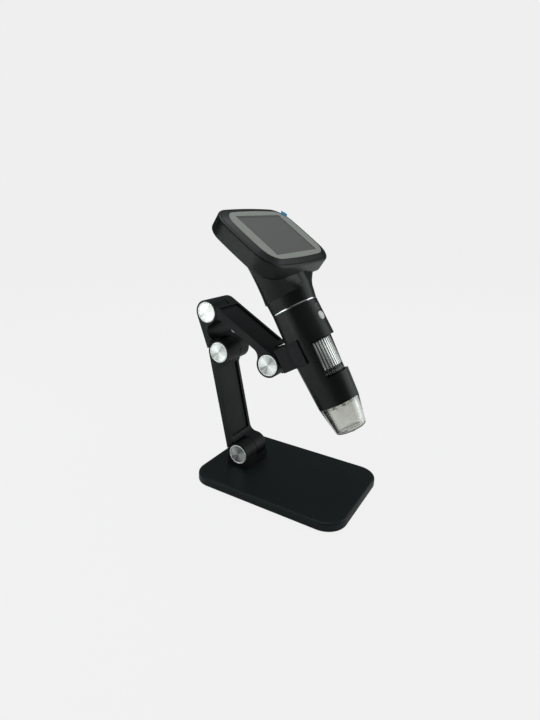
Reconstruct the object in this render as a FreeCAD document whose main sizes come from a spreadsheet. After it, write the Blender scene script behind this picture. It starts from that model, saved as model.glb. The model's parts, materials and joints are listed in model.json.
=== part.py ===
import FreeCAD, Part
import math
import os
import re

import Sketcher
from FreeCAD import Placement, Rotation, Vector

# Handheld LCD microscope in the clip of a folding desk stand.
# Millimetres, +Z up. The origin is the centre of the base plate's underside,
# +X runs from the hinge block towards the scope, +Y is across the plate.

# Driving sizes
SIZES = {
    # base plate
    "base_length": 115.2,
    "base_width": 78.8,
    "base_height": 6.6,
    "base_corner": 14.5,
    "base_edge": 1.6,
    "base_wall": 2.4,
    "base_roof": 2.2,
    "pad_inset": 1.6,
    "pad_thick": 1.0,
    "pad_stand": 0.3,
    "weight_thick": 3.0,
    "weight_margin": 1.0,
    # hinges
    "hinge_width": 26.1,
    "knuckle_radius": 8.6,
    "cap_radius": 7.45,
    "cap_thick": 1.1,
    "cap_dish": 0.25,
    "cap_rim": 0.55,
    "seam_gap": 0.5,
    "washer_play": 0.1,
    "bolt_radius": 2.5,
    "bolt_head_radius": 4.6,
    "bolt_head_height": 3.0,
    "socket_width": 4.0,
    "nut_radius": 4.6,
    "nut_height": 3.0,
    "spring_thick": 0.5,
    "running_play": 0.05,
    "free_play": 0.4,
    "base_hinge_x": -34.57,
    "base_hinge_z": 16.07,
    "base_seam": 0.4,
    "elbow_seam": 1.9,
    "shoulder_seam": 3.3,
    "holder_seam": -2.0,
    # hinge block on the base plate
    "block_front": 9.4,
    "block_rear": 9.0,
    "block_height": 6.1,
    "screw_radius": 1.9,
    "screw_head_radius": 3.6,
    "screw_head_height": 2.0,
    "screw_bite": 4.0,
    "screw_first": 9.8,
    "screw_second": 3.2,
    # arms: distance between hinges, lean from upright, plate thickness
    "lower_length": 77.79,
    "lower_lean": -12.74,
    "lower_thick": 5.3,
    "link_length": 29.51,
    "link_lean": -20.93,
    "link_thick": 4.7,
    "upper_length": 58.87,
    "upper_lean": 119.79,
    "upper_thick": 5.9,
    "web_radius": 6.0,
    "arm_end_gap": 9.6,
    "cheek_gap": 5.0,
    "upper_tip_gap": 6.4,
    "arm_lip": 2.5,
    "recess_depth": 1.3,
    "lower_recess_start": 13.2,
    "lower_recess_end": 11.5,
    "upper_recess_start": 6.8,
    "upper_recess_end": 9.6,
    # holder and its clip
    "holder_length": 30.33,
    "holder_drop": 27.59,
    "clip_top": 20.5,
    "clip_bottom": 37.0,
    "clip_play": 0.08,
    "clip_wall": 1.4,
    "clip_mouth": 174.0,
    # scope: tilt of its axis, turn in the clip
    "scope_lean": -31.70,
    "scope_turn": 2.0,
    # barrel, measured down from the bright ring
    "ring_radius": 15.5,
    "ring_height": 1.1,
    "barrel_top_radius": 15.45,
    "barrel_mid_radius": 16.2,
    "barrel_mid": 26.0,
    "barrel_end_radius": 14.07,
    "barrel_length": 68.3,
    "barrel_bore": 13.4,
    "nose_bore": 12.2,
    "window_top": 26.0,
    "window_bottom": 50.0,
    "window_angle": 120.0,
    "window_strip": 1.1,
    # focus wheel and scale ring
    "focus_play": 0.35,
    "wheel_radius": 12.2,
    "wheel_bore": 10.2,
    "wheel_length": 19.2,
    "rib_radius": 0.6,
    "rib_count": 40,
    "scale_radius": 13.05,
    "scale_skirt": 12.6,
    "scale_band": 3.6,
    # optics inside the barrel
    "guide_radius": 8.8,
    "guide_bore": 7.6,
    "guide_top": 22.2,
    "flange_thick": 1.6,
    "guide_slot": 2.2,
    "carriage_radius": 7.5,
    "carriage_bore": 6.0,
    "carriage_length": 12.0,
    "carriage_top": 32.0,
    "focus_travel": 4.0,
    "drive_pin_radius": 1.0,
    "drive_pin_reach": 9.95,
    "lens_thick": 3.2,
    "sensor_board_radius": 12.6,
    "board_thick": 1.2,
    "sensor_size": 7.0,
    "sensor_thick": 1.4,
    # light ring and clear tip
    "light_board_radius": 10.6,
    "light_board_bore": 6.2,
    "light_board_depth": 68.0,
    "led_radius": 1.2,
    "led_height": 1.6,
    "led_ring_radius": 8.4,
    "led_count": 8,
    "tip_length": 19.6,
    "tip_end_radius": 10.1,
    "tip_bore": 10.8,
    "tip_bore_end": 9.0,
    "tip_floor": 1.6,
    "tip_collar": 3.5,
    "tip_nub": 0.8,
    # snap button
    "button_depth": 12.8,
    "button_radius": 3.0,
    "button_flange": 3.8,
    "button_rise": 1.0,
    "button_travel": 0.8,
    "switch_size": 6.0,
    "switch_height": 3.2,
    # display head
    "display_forward": 12.12,
    "display_height": 45.73,
    "display_tilt": 23.98,
    "head_width": 79.0,
    "head_height": 56.1,
    "head_depth": 12.4,
    "head_crown": 1.3,
    "head_side_bow": 260.0,
    "head_top_bow": 380.0,
    "head_corner": 15.0,
    "rim_round": 1.4,
    "back_round": 1.8,
    "head_wall": 1.8,
    "parting_depth": 5.6,
    "neck_radius": 17.2,
    "neck_height": 11.0,
    "neck_rise": 9.5,
    "neck_forward": 1.2,
    "funnel_side_inset": 4.5,
    "funnel_top_inset": 4.55,
    "funnel_side_bow": 160.0,
    "funnel_top_bow": 200.0,
    "funnel_corner": 16.0,
    "bezel_side": 6.0,
    "bezel_top": 5.3,
    "glass_side_bow": 260.0,
    "glass_top_bow": 420.0,
    "glass_corner": 11.0,
    "glass_lip": 0.5,
    "glass_thick": 1.2,
    "glass_play": 0.1,
    "active_width": 49.0,
    "active_height": 36.7,
    "ledge_depth": 3.0,
    "panel_margin": 5.0,
    "panel_top_margin": 3.15,
    "panel_thick": 2.4,
    "board_gap": 0.3,
    "main_board_height": 42.0,
    "chip_height": 1.1,
    "battery_width": 36.0,
    "battery_height": 30.0,
    "battery_thick": 2.8,
    "boss_side_inset": 5.9,
    "boss_top_inset": 13.05,
    "boss_radius": 2.3,
    "case_screw_radius": 0.95,
    "case_screw_head": 1.9,
    "usb_width": 8.9,
    "usb_height": 3.2,
    "usb_length": 7.4,
    "usb_up": -7.0,
    "card_width": 12.0,
    "card_height": 1.6,
    "card_length": 14.0,
    "card_up": 5.0,
    "power_radius": 3.0,
    "power_across": -22.0,
    "power_up": 8.0,
    "power_rise": 0.7,
    "power_travel": 0.5,
    "key_switch_height": 2.5,
    "film_thick": 0.15,
    "tab_length": 5.5,
    "tab_width": 4.7,
    "tab_side_inset": 1.14,
    "tab_top_inset": 6.7,
    "tab_turn": 36.4,
}

# Sizes of the display head that follow from its outside
SIZES["glass_width"] = SIZES["head_width"] - 2 * SIZES["bezel_side"]
SIZES["glass_height"] = SIZES["head_height"] - 2 * SIZES["bezel_top"]
SIZES["funnel_width"] = SIZES["head_width"] - 2 * SIZES["funnel_side_inset"]
SIZES["funnel_height"] = SIZES["head_height"] - 2 * SIZES["funnel_top_inset"]
SIZES["boss_across"] = SIZES["head_width"] / 2 - SIZES["boss_side_inset"]
SIZES["boss_up"] = SIZES["head_height"] / 2 - SIZES["boss_top_inset"]

doc = FreeCAD.newDocument("lcd_microscope")
sheet = doc.addObject("Spreadsheet::Sheet", "Sizes")
aliases = set()


def keep(name, value):
    """Write one size into the sheet as a plain number with its own alias."""
    row = len(aliases) + 1
    sheet.set("A%d" % row, name)
    sheet.set("B%d" % row, "%.6f" % value)
    sheet.setAlias("B%d" % row, name)
    aliases.add(name)


for size_name, size_value in SIZES.items():
    keep(size_name, size_value)


def formula(text):
    """Turn a line of arithmetic on size names into an expression on the sheet."""
    return re.sub(r"[a-z][a-z_]*", lambda word: "Sizes." + word.group()
                  if word.group() in aliases else word.group(), str(text))


def number(text):
    return float(sheet.evalExpression(formula(text)))


def polar(reach, lean):
    """A step along an arm that leans from upright towards +X."""
    angle = math.radians(lean)
    return Vector(reach * math.sin(angle), 0, reach * math.cos(angle))


def upright(origin, lean):
    """Frame of an arm: local Z runs along it, local Y stays across the stand."""
    return Placement(origin, Rotation(Vector(0, 1, 0), lean))


# Hinge centres and the frames that the pieces are built in
BASE_HINGE = Vector(SIZES["base_hinge_x"], 0, SIZES["base_hinge_z"])
ELBOW = BASE_HINGE + polar(SIZES["lower_length"], SIZES["lower_lean"])
SHOULDER = ELBOW + polar(SIZES["link_length"], SIZES["link_lean"])
HOLDER = SHOULDER + polar(SIZES["upper_length"], SIZES["upper_lean"])
scope_rotation = Rotation(Vector(0, 1, 0), SIZES["scope_lean"])
to_ring = scope_rotation.multVec(Vector(SIZES["holder_length"], 0, SIZES["holder_drop"]))
HOLDER_FRAME = Placement(HOLDER + to_ring, scope_rotation)
turn_in_clip = Rotation(Vector(0, 0, 1), -SIZES["scope_turn"])
SCOPE_FRAME = HOLDER_FRAME * Placement(Vector(), turn_in_clip)
FACE_FORWARD = Rotation(Vector(1, 1, 1), 120)


def facing(forward, height, tilt):
    """Frame on the scope: local X across, Y up the face, Z out of the face."""
    return Placement(Vector(forward, 0, height),
                     Rotation(Vector(0, 1, 0), -tilt) * FACE_FORWARD)


HEAD_ON_SCOPE = facing(SIZES["display_forward"], SIZES["display_height"],
                       SIZES["display_tilt"])
HEAD_FRAME = SCOPE_FRAME * HEAD_ON_SCOPE
ACROSS = Rotation(Vector(1, 0, 0), -90)

# Sizes that follow from the driving ones
web_offset = SIZES["web_radius"] - SIZES["knuckle_radius"]
web_span = SIZES["web_radius"] + SIZES["knuckle_radius"]
for arm in ("lower", "link", "upper"):
    offset = SIZES[arm + "_thick"] + web_offset
    keep(arm + "_web_front", offset)
    keep(arm + "_web_height", math.sqrt(web_span ** 2 - offset ** 2))
doc.recompute()

parts = []


def primitive(kind, name, at=("0", "0", "0"), turn=None, **sizes):
    """A Part primitive whose sizes and place are bound to the sheet."""
    solid = doc.addObject("Part::" + kind, name)
    solid.Placement = Placement(Vector(), turn or Rotation())
    for size, text in sizes.items():
        solid.setExpression(size, formula(text))
    for axis, text in zip("xyz", at):
        solid.setExpression("Placement.Base." + axis, formula(text))
    return solid


def box(name, length, width, height, at, turn=None):
    return primitive("Box", name, at, turn, Length=length, Width=width, Height=height)


def centred_box(name, length, width, height, at):
    """A box centred on local X and Y, from at[2] upwards."""
    corner = ("%s - (%s) / 2" % (at[0], length), "%s - (%s) / 2" % (at[1], width), at[2])
    return box(name, length, width, height, corner)


def cylinder(name, radius, height, at=("0", "0", "0"), turn=None, angle="360"):
    return primitive("Cylinder", name, at, turn, Radius=radius, Height=height, Angle=angle)


def fuse(name, *solids):
    joined = doc.addObject("Part::MultiFuse", name)
    joined.Shapes = list(solids)
    joined.Refine = True
    return joined


def cut(name, base, *tools):
    result = doc.addObject("Part::Cut", name)
    result.Base = base
    result.Tool = tools[0] if len(tools) == 1 else fuse(name + "_tools", *tools)
    return result



def group(name, *solids):
    together = doc.addObject("Part::Compound", name)
    together.Links = list(solids)
    return together


def free_form(name, shape):
    """A form that no sketch or primitive gives, worked out from the sheet's sizes."""
    feature = doc.addObject("Part::Feature", name)
    feature.Shape = shape
    return feature


def piece(solid, label, frame=None):
    """Name a finished piece and put it in its place on the microscope."""
    own_place = [path for path, _ in solid.ExpressionEngine if "Placement" in path]
    if frame is not None and own_place:
        solid = group(solid.Name + "_placed", solid)
    solid.Label = label
    if frame is not None:
        solid.Placement = frame
    parts.append(solid)
    return solid


def origin_plane(body, role):
    for feature in body.Origin.OriginFeatures:
        if feature.Role == role:
            return feature


def outline_sketch(body, plane, points):
    """A closed outline of straight lines whose corners are bound to the sheet."""
    sketch = body.newObject("Sketcher::SketchObject", body.Name + "_outline")
    sketch.AttachmentSupport = (origin_plane(body, plane), [""])
    sketch.MapMode = "FlatFace"
    corners = [Vector(number(x), number(y), 0) for x, y in points]
    count = len(corners)
    for index in range(count):
        sketch.addGeometry(Part.LineSegment(corners[index], corners[(index + 1) % count]))
    for index in range(count):
        ends = ("Coincident", index, 2, (index + 1) % count, 1)
        sketch.addConstraint(Sketcher.Constraint(*ends))
    for index, place in enumerate(points):
        for kind, axis, text in zip(("DistanceX", "DistanceY"), (-2, -1), place):
            if text == "0":
                sketch.addConstraint(Sketcher.Constraint("PointOnObject", index, 1, axis))
                continue
            row = sketch.addConstraint(
                Sketcher.Constraint(kind, -1, 1, index, 1, number(text)))
            sketch.setExpression("Constraints[%d]" % row, formula(text))
    return sketch


def turned(name, points):
    """A body of revolution about local Z; points are (radius, height)."""
    body = doc.addObject("PartDesign::Body", name)
    sketch = outline_sketch(body, "XZ_Plane", points)
    spin = body.newObject("PartDesign::Revolution", name + "_turning")
    spin.Profile = sketch
    spin.ReferenceAxis = (sketch, ["V_Axis"])
    spin.Angle = 360
    return body


def ring(name, outer, inner, low, high):
    return turned(name, [(outer, low), (outer, high), (inner, high), (inner, low)])


def rounded_plate(name, length, width, corner, low, height):
    """A flat plate centred on the origin with rounded upright corners."""
    body = doc.addObject("PartDesign::Body", name)
    half_length = "(%s) / 2" % length
    half_width = "(%s) / 2" % width
    sketch = outline_sketch(body, "XY_Plane", [
        ("-" + half_length, "-" + half_width), (half_length, "-" + half_width),
        (half_length, half_width), ("-" + half_length, half_width)])
    sketch.setExpression("AttachmentOffset.Base.z", formula(low))
    pad = body.newObject("PartDesign::Pad", name + "_pad")
    pad.Profile = sketch
    pad.setExpression("Length", formula(height))
    doc.recompute()
    upright_edges = [
        "Edge%d" % (index + 1) for index, edge in enumerate(pad.Shape.Edges)
        if abs(edge.Vertexes[0].Z - edge.Vertexes[1].Z) > number(height) / 2]
    corners = body.newObject("PartDesign::Fillet", name + "_corners")
    corners.Base = (pad, upright_edges)
    corners.setExpression("Radius", formula(corner))
    return body


def round_edges(body, radius, chosen):
    """Round the edges of a body's last feature that chosen(edge) picks."""
    doc.recompute()
    last = body.Tip
    names = ["Edge%d" % (index + 1) for index, edge in enumerate(last.Shape.Edges)
             if chosen(edge)]
    rounding = body.newObject("PartDesign::Fillet", body.Name + "_rounding")
    rounding.Base = (last, names)
    rounding.setExpression("Radius", formula(radius))
    return body


# Base plate: a hollow shell with a steel plate in it and a rubber pad under it
shell = rounded_plate("base_block", "base_length", "base_width", "base_corner",
                      "pad_stand", "base_height - pad_stand")
round_edges(shell, "base_edge",
            lambda edge: edge.BoundBox.ZMin > number("base_height") - 0.01)
round_edges(shell, "base_edge / 2",
            lambda edge: edge.BoundBox.ZMax < number("pad_stand") + 0.01)
hollow = rounded_plate("base_hollow", "base_length - 2 * base_wall",
                       "base_width - 2 * base_wall", "base_corner - base_wall",
                       "0", "base_height - base_roof")
screw_places = [("base_hinge_x", "-screw_first"), ("base_hinge_x", "-screw_second")]
roof_holes = [cylinder("roof_hole", "screw_radius + running_play", "base_height",
                       (x, y, "pad_thick")) for x, y in screw_places]
piece(cut("base_shell_cut", shell, hollow, *roof_holes), "base_shell")

weight = rounded_plate("weight_plate", "base_length - 2 * base_wall - 2 * weight_margin",
                       "base_width - 2 * base_wall - 2 * weight_margin",
                       "base_corner - base_wall - weight_margin",
                       "base_height - base_roof - weight_thick", "weight_thick")
head_room = [cylinder("head_room", "screw_head_radius + free_play", "base_height",
                      (x, y, "0")) for x, y in screw_places]
piece(cut("weight_cut", weight, *head_room), "base_weight")
piece(rounded_plate("pad_plate", "base_length - 2 * pad_inset - 2 * base_wall",
                    "base_width - 2 * pad_inset - 2 * base_wall",
                    "base_corner - base_wall - pad_inset", "0",
                    "base_height - base_roof - weight_thick"), "base_pad")

# Screws that hold the hinge block, up through the shell's roof
screws = []
for x, y in screw_places:
    head = cylinder("screw_head", "screw_head_radius", "screw_head_height",
                    (x, y, "base_height - base_roof - screw_head_height"))
    shank = cylinder("screw_shank", "screw_radius", "base_roof + screw_bite",
                     (x, y, "base_height - base_roof"))
    cross = centred_box("screw_slot", "screw_radius", "3 * screw_radius",
                        "screw_head_height / 2",
                        (x, y, "base_height - base_roof - screw_head_height"))
    screws.append(cut("block_screw", fuse("screw_blank", head, shank), cross))
piece(group("block_screw_pair", *screws), "block_screws")


# Hinge halves are built in the frame of the arm that carries them
def knuckle(name, height, seam, near):
    """One half of a hinge: the near half stands at -Y, the far half at +Y."""
    if near:
        return cylinder(name, "knuckle_radius",
                        "%s - seam_gap / 2 + hinge_width / 2" % seam,
                        ("0", "-hinge_width / 2", height), ACROSS)
    return cylinder(name, "knuckle_radius",
                    "hinge_width / 2 - %s - seam_gap / 2" % seam,
                    ("0", "%s + seam_gap / 2" % seam, height), ACROSS)


def hinge_bores(name, height, near):
    """Bolt bore, cap seat and the pocket for the bolt's head or its nut."""
    face = "-hinge_width / 2" if near else "hinge_width / 2 - cap_thick"
    seat = cylinder(name + "_seat", "cap_radius + running_play", "cap_thick",
                    ("0", face, height), ACROSS)
    bore = cylinder(name + "_bore", "bolt_radius + running_play", "hinge_width",
                    ("0", "-hinge_width / 2", height), ACROSS)
    if near:
        pocket = cylinder(name + "_pocket", "bolt_head_radius + running_play",
                          "bolt_head_height", ("0", "cap_thick - hinge_width / 2", height),
                          ACROSS)
    else:
        pocket = cylinder(name + "_pocket", "nut_radius + running_play",
                          "nut_height + 2 * spring_thick + running_play",
                          ("0", "hinge_width / 2 - cap_thick - nut_height"
                           " - 2 * spring_thick - running_play", height), ACROSS)
    return [seat, bore, pocket]


def room_beside(name, height, seam, near, gaps, above, thick):
    """Space for the other half of a hinge: the web is cut well back, and the
    plate's cheek reaches down beside the other half."""
    if near:
        start = "-hinge_width"
        span = "%s + seam_gap / 2 + hinge_width" % seam
    else:
        start = "%s - seam_gap / 2" % seam
        span = "hinge_width - %s + seam_gap / 2" % seam
    cheek = "%s - knuckle_radius" % thick
    tools = []
    for part_name, reach, left, right in (
            ("_cheek_room", gaps[0], "-3 * knuckle_radius", cheek),
            ("_room", gaps[1], cheek, "3 * knuckle_radius")):
        low = "%s - 2 * knuckle_radius" % height if above else "%s - (%s)" % (height, reach)
        tools.append(box(name + part_name, "%s - (%s)" % (right, left), span,
                         "2 * knuckle_radius + (%s)" % reach, (left, start, low)))
    tools.append(cylinder(name + "_sweep", "knuckle_radius + free_play", span,
                          ("0", start, height), ACROSS))
    return tools


def web(name, arm, height, above):
    """Fill between the arm's plate and a knuckle, hollowed by a tangent round."""
    front = arm + "_web_front"
    rise = arm + "_web_height"
    reach = "%s * knuckle_radius / (knuckle_radius + web_radius)" % front
    low = height if above else "%s - %s" % (height, rise)
    fill = box(name + "_fill", "knuckle_radius + %s" % reach, "hinge_width", rise,
               ("-knuckle_radius", "-hinge_width / 2", low))
    centre = "%s + %s" % (height, rise) if above else "%s - %s" % (height, rise)
    scoop = cylinder(name + "_scoop", "web_radius", "2 * hinge_width",
                     (front, "-hinge_width", centre), ACROSS)
    return cut(name, fill, scoop)


def arm_blank(arm, start_seam, end_seam, start_gaps, end_gaps):
    """Plate, webs and the arm's own knuckles, with room for its neighbours'."""
    reach = arm + "_length"
    plate = box(arm + "_plate", arm + "_thick", "hinge_width", reach,
                ("-knuckle_radius", "-hinge_width / 2", "0"))
    body = cut(arm + "_flat",
               fuse(arm + "_webbed", plate, web(arm + "_start_web", arm, "0", True),
                    web(arm + "_end_web", arm, reach, False)),
               *(room_beside(arm + "_start", "0", start_seam, True, start_gaps, True,
                             arm + "_thick")
                 + room_beside(arm + "_end", reach, end_seam, False, end_gaps, False,
                               arm + "_thick")))
    return fuse(arm + "_blank", body, knuckle(arm + "_far_knuckle", "0", start_seam, False),
                knuckle(arm + "_near_knuckle", reach, end_seam, True))


def arm_bores(arm):
    return (hinge_bores(arm + "_far", "0", False)
            + hinge_bores(arm + "_near", arm + "_length", True))


# Lower arm: shallow recess in its front face
lower_recess = box("lower_recess", "6 * knuckle_radius", "hinge_width - 2 * arm_lip",
                   "lower_length - lower_recess_start - lower_recess_end",
                   ("lower_thick - knuckle_radius - recess_depth",
                    "arm_lip - hinge_width / 2", "lower_recess_start"))
gaps = ("cheek_gap", "arm_end_gap")
piece(cut("lower_arm_cut", arm_blank("lower", "base_seam", "elbow_seam", gaps, gaps),
          lower_recess, *arm_bores("lower")), "lower_arm",
      upright(BASE_HINGE, SIZES["lower_lean"]))

piece(cut("link_arm_cut", arm_blank("link", "elbow_seam", "shoulder_seam", gaps, gaps),
          *arm_bores("link")), "link_arm", upright(ELBOW, SIZES["link_lean"]))

# Upper arm: the recess is in its top face, which is the flush side
upper_recess = box("upper_recess", "recess_depth + knuckle_radius",
                   "hinge_width - 2 * arm_lip",
                   "upper_length - upper_recess_start - upper_recess_end",
                   ("-2 * knuckle_radius", "arm_lip - hinge_width / 2",
                    "upper_recess_start"))
piece(cut("upper_arm_cut", arm_blank("upper", "shoulder_seam", "holder_seam", gaps,
                                     ("upper_tip_gap", "upper_tip_gap")),
          upper_recess, *arm_bores("upper")), "upper_arm",
      upright(SHOULDER, SIZES["upper_lean"]))

# Hinge block: plinth across the plate, near half up to the axis
plinth = box("plinth", "block_front + block_rear", "hinge_width", "block_height",
             ("-block_rear", "-hinge_width / 2", "base_height - base_hinge_z"))
near_wall = box("near_wall", "2 * knuckle_radius",
                "base_seam - seam_gap / 2 + hinge_width / 2", "base_hinge_z - base_height",
                ("-knuckle_radius", "-hinge_width / 2", "base_height - base_hinge_z"))
cradle = cylinder("cradle", "knuckle_radius + free_play", "hinge_width",
                  ("0", "base_seam - seam_gap / 2", "0"), ACROSS)
block_body = fuse("block_blank", cut("plinth_cut", plinth, cradle), near_wall,
                  knuckle("block_knuckle", "0", "base_seam", True))
pilots = [cylinder("pilot", "screw_radius + running_play", "screw_bite + running_play",
                   ("0", y, "base_height - base_hinge_z")) for x, y in screw_places]
piece(cut("hinge_block_cut", block_body, *(hinge_bores("block", "0", True) + pilots)),
      "hinge_block", Placement(BASE_HINGE, Rotation()))


# Hardware of one hinge, built along local Z, which points across the stand
def hinge_hardware(prefix, centre, seam):
    frame = Placement(centre, ACROSS)
    head_low = "cap_thick - hinge_width / 2"
    nut_high = "hinge_width / 2 - cap_thick"
    bolt = turned(prefix + "_bolt_turned", [
        ("0", head_low), ("bolt_head_radius - cap_rim / 2", head_low),
        ("bolt_head_radius", head_low + " + cap_rim / 2"),
        ("bolt_head_radius", head_low + " + bolt_head_height"),
        ("bolt_radius", head_low + " + bolt_head_height"),
        ("bolt_radius", nut_high + " - cap_rim / 2"),
        ("bolt_radius - cap_rim / 2", nut_high), ("0", nut_high)])
    drive = primitive("Prism", prefix + "_socket", ("0", "0", head_low),
                      Circumradius="socket_width / sqrt(3)",
                      Height="bolt_head_height * 0.6")
    piece(cut(prefix + "_bolt_cut", bolt, drive), prefix + "_bolt", frame)
    nut = primitive("Prism", prefix + "_nut_blank", ("0", "0", nut_high + " - nut_height"),
                    Circumradius="nut_radius", Height="nut_height")
    thread = cylinder(prefix + "_thread", "bolt_radius + running_play", "2 * nut_height",
                      ("0", "0", nut_high + " - 1.5 * nut_height"))
    piece(cut(prefix + "_nut_cut", nut, thread), prefix + "_nut", frame)
    springs = []
    for index in range(2):
        low = "%s - nut_height - %d * spring_thick" % (nut_high, index + 1)
        springs.append(ring("%s_spring_%d" % (prefix, index + 1),
                            "nut_radius - spring_thick / 2", "bolt_radius + running_play",
                            low, low + " + spring_thick"))
    piece(group(prefix + "_springs", *springs), prefix + "_spring_washers", frame)
    piece(ring(prefix + "_washer_ring", "cap_radius", "bolt_radius + running_play",
               seam + " - seam_gap / 2", seam + " + seam_gap / 2 - washer_play"),
          prefix + "_friction_washer", frame)
    near = "0 - hinge_width / 2"
    piece(turned(prefix + "_near_disc", [
        ("0", near + " + cap_dish"),
        ("cap_radius - 2 * cap_rim", near + " + cap_dish"),
        ("cap_radius - cap_rim", near), ("cap_radius - cap_rim / 2", near),
        ("cap_radius", near + " + cap_rim / 2"),
        ("cap_radius", near + " + cap_thick"), ("0", near + " + cap_thick")]),
        prefix + "_near_cap", frame)
    far = "hinge_width / 2"
    piece(turned(prefix + "_far_disc", [
        ("0", far + " - cap_dish"),
        ("cap_radius - 2 * cap_rim", far + " - cap_dish"),
        ("cap_radius - cap_rim", far), ("cap_radius - cap_rim / 2", far),
        ("cap_radius", far + " - cap_rim / 2"),
        ("cap_radius", far + " - cap_thick"), ("0", far + " - cap_thick")]),
        prefix + "_far_cap", frame)


hinge_hardware("base_hinge", BASE_HINGE, "base_seam")
hinge_hardware("elbow", ELBOW, "elbow_seam")
hinge_hardware("shoulder", SHOULDER, "shoulder_seam")
hinge_hardware("holder_hinge", HOLDER, "holder_seam")

# Holder: knuckle behind, block in front of it, open snap ring round the barrel
clip_radius = "barrel_mid_radius + clip_play"
clip_height = "clip_bottom - clip_top"
clip_body = cut("clip_ring",
                cylinder("clip_outside", clip_radius + " + clip_wall", clip_height,
                         ("0", "0", "-clip_bottom")),
                cylinder("clip_mouth_cut", "2 * barrel_mid_radius", "2 * clip_bottom",
                         ("0", "0", "-2 * clip_bottom"),
                         Rotation(Vector(0, 0, 1), -SIZES["clip_mouth"] / 2), "clip_mouth"))
holder_block = box("holder_block", "holder_length", "hinge_width", clip_height,
                   ("-holder_length", "-hinge_width / 2", "-clip_bottom"))
holder_room = box("holder_room", "2 * arm_end_gap",
                  "holder_seam + seam_gap / 2 + hinge_width", "4 * knuckle_radius",
                  ("-holder_length - arm_end_gap", "-hinge_width",
                   "-holder_drop - 2 * knuckle_radius"))
holder_knuckle = cylinder("holder_knuckle", "knuckle_radius",
                          "hinge_width / 2 - holder_seam - seam_gap / 2",
                          ("-holder_length", "holder_seam + seam_gap / 2", "-holder_drop"),
                          ACROSS)
holder_body = fuse("holder_blank", clip_body,
                   cut("holder_step", holder_block, holder_room), holder_knuckle)
clip_bore = cylinder("clip_bore", clip_radius, "2 * clip_bottom",
                     ("0", "0", "-2 * clip_bottom"))
holder_tools = [clip_bore]
for tool in hinge_bores("holder", "-holder_drop", False):
    tool.setExpression("Placement.Base.x", formula("-holder_length"))
    holder_tools.append(tool)
piece(cut("holder_cut", holder_body, *holder_tools), "barrel_holder", HOLDER_FRAME)

# Barrel: one turned tube with the focus window and the button hole
barrel_blank = turned("barrel_blank", [
    ("barrel_top_radius", "-ring_height"),
    ("barrel_mid_radius", "-barrel_mid"),
    ("barrel_end_radius", "-barrel_length"),
    ("nose_bore", "-barrel_length"),
    ("nose_bore", "-window_bottom - focus_play"),
    ("barrel_bore", "-window_bottom - focus_play"),
    ("barrel_bore", "-ring_height")])
window = cylinder("window", "2 * barrel_mid_radius", "window_bottom - window_top",
                  ("0", "0", "-window_bottom"),
                  Rotation(Vector(0, 0, 1), -SIZES["window_angle"] / 2), "window_angle")
outward = Rotation(Vector(0, 1, 0), 90)
button_hole = cylinder("button_hole", "button_radius + free_play / 2",
                       "2 * barrel_mid_radius", ("0", "0", "-button_depth"), outward)
piece(cut("barrel_cut", barrel_blank, window, button_hole), "barrel_shell", SCOPE_FRAME)

piece(ring("ring_turned", "ring_radius", "barrel_bore - clip_wall", "-ring_height", "0"),
      "bright_ring", SCOPE_FRAME)

# Focus wheel: ribs in a circle round a ring
wheel_high = "-window_top - focus_play"
wheel_low = wheel_high + " - wheel_length"
wheel_ring = ring("wheel_ring", "wheel_radius", "wheel_bore", wheel_low, wheel_high)
ribs = doc.addObject("PartDesign::Body", "wheel_ribs")
rib_sketch = ribs.newObject("Sketcher::SketchObject", "rib_outline")
rib_sketch.AttachmentSupport = (origin_plane(ribs, "XY_Plane"), [""])
rib_sketch.MapMode = "FlatFace"
rib_sketch.setExpression("AttachmentOffset.Base.z", formula(wheel_low))
rib_sketch.addGeometry(Part.Circle(Vector(number("wheel_radius"), 0, 0), Vector(0, 0, 1),
                                   number("rib_radius")))
rib_sketch.addConstraint(Sketcher.Constraint("PointOnObject", 0, 3, -1))
row = rib_sketch.addConstraint(
    Sketcher.Constraint("DistanceX", -1, 1, 0, 3, number("wheel_radius")))
rib_sketch.setExpression("Constraints[%d]" % row, formula("wheel_radius"))
row = rib_sketch.addConstraint(Sketcher.Constraint("Radius", 0, number("rib_radius")))
rib_sketch.setExpression("Constraints[%d]" % row, formula("rib_radius"))
rib = ribs.newObject("PartDesign::Pad", "rib")
rib.Profile = rib_sketch
rib.setExpression("Length", formula("wheel_length"))
rib_list = []
for index in range(int(SIZES["rib_count"])):
    copy = doc.addObject("Part::Feature", "rib_%d" % (index + 1))
    rib_list.append(copy)
doc.recompute()
for index, copy in enumerate(rib_list):
    copy.Shape = ribs.Shape.copy()
    copy.Placement = Placement(Vector(), Rotation(Vector(0, 0, 1),
                                                  360.0 * index / len(rib_list)))
piece(fuse("wheel_ribbed", wheel_ring, *rib_list), "focus_wheel", SCOPE_FRAME)

scale_high = wheel_low
piece(turned("scale_turned", [
    ("scale_radius", scale_high), ("scale_radius", scale_high + " - scale_band"),
    ("scale_skirt", scale_high + " - scale_band"),
    ("scale_skirt", "focus_play - window_bottom"),
    ("wheel_bore", "focus_play - window_bottom"), ("wheel_bore", scale_high)]),
    "scale_ring", SCOPE_FRAME)

# Lens guide: fixed tube with a flange, slotted for the carriage's drive pins
guide_tube = turned("guide_turned", [
    ("barrel_bore", "-guide_top"), ("barrel_bore", "-guide_top - flange_thick"),
    ("guide_radius", "-guide_top - flange_thick"),
    ("guide_radius", "focus_play - window_bottom"),
    ("guide_bore", "focus_play - window_bottom"), ("guide_bore", "-guide_top")])
slot = centred_box("guide_slots", "guide_slot", "3 * guide_radius",
                   "2 * focus_travel + guide_slot",
                   ("0", "0", "-carriage_top - carriage_length / 2"
                    " - focus_travel - guide_slot / 2"))
piece(cut("guide_cut", guide_tube, slot), "lens_guide", SCOPE_FRAME)

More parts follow.
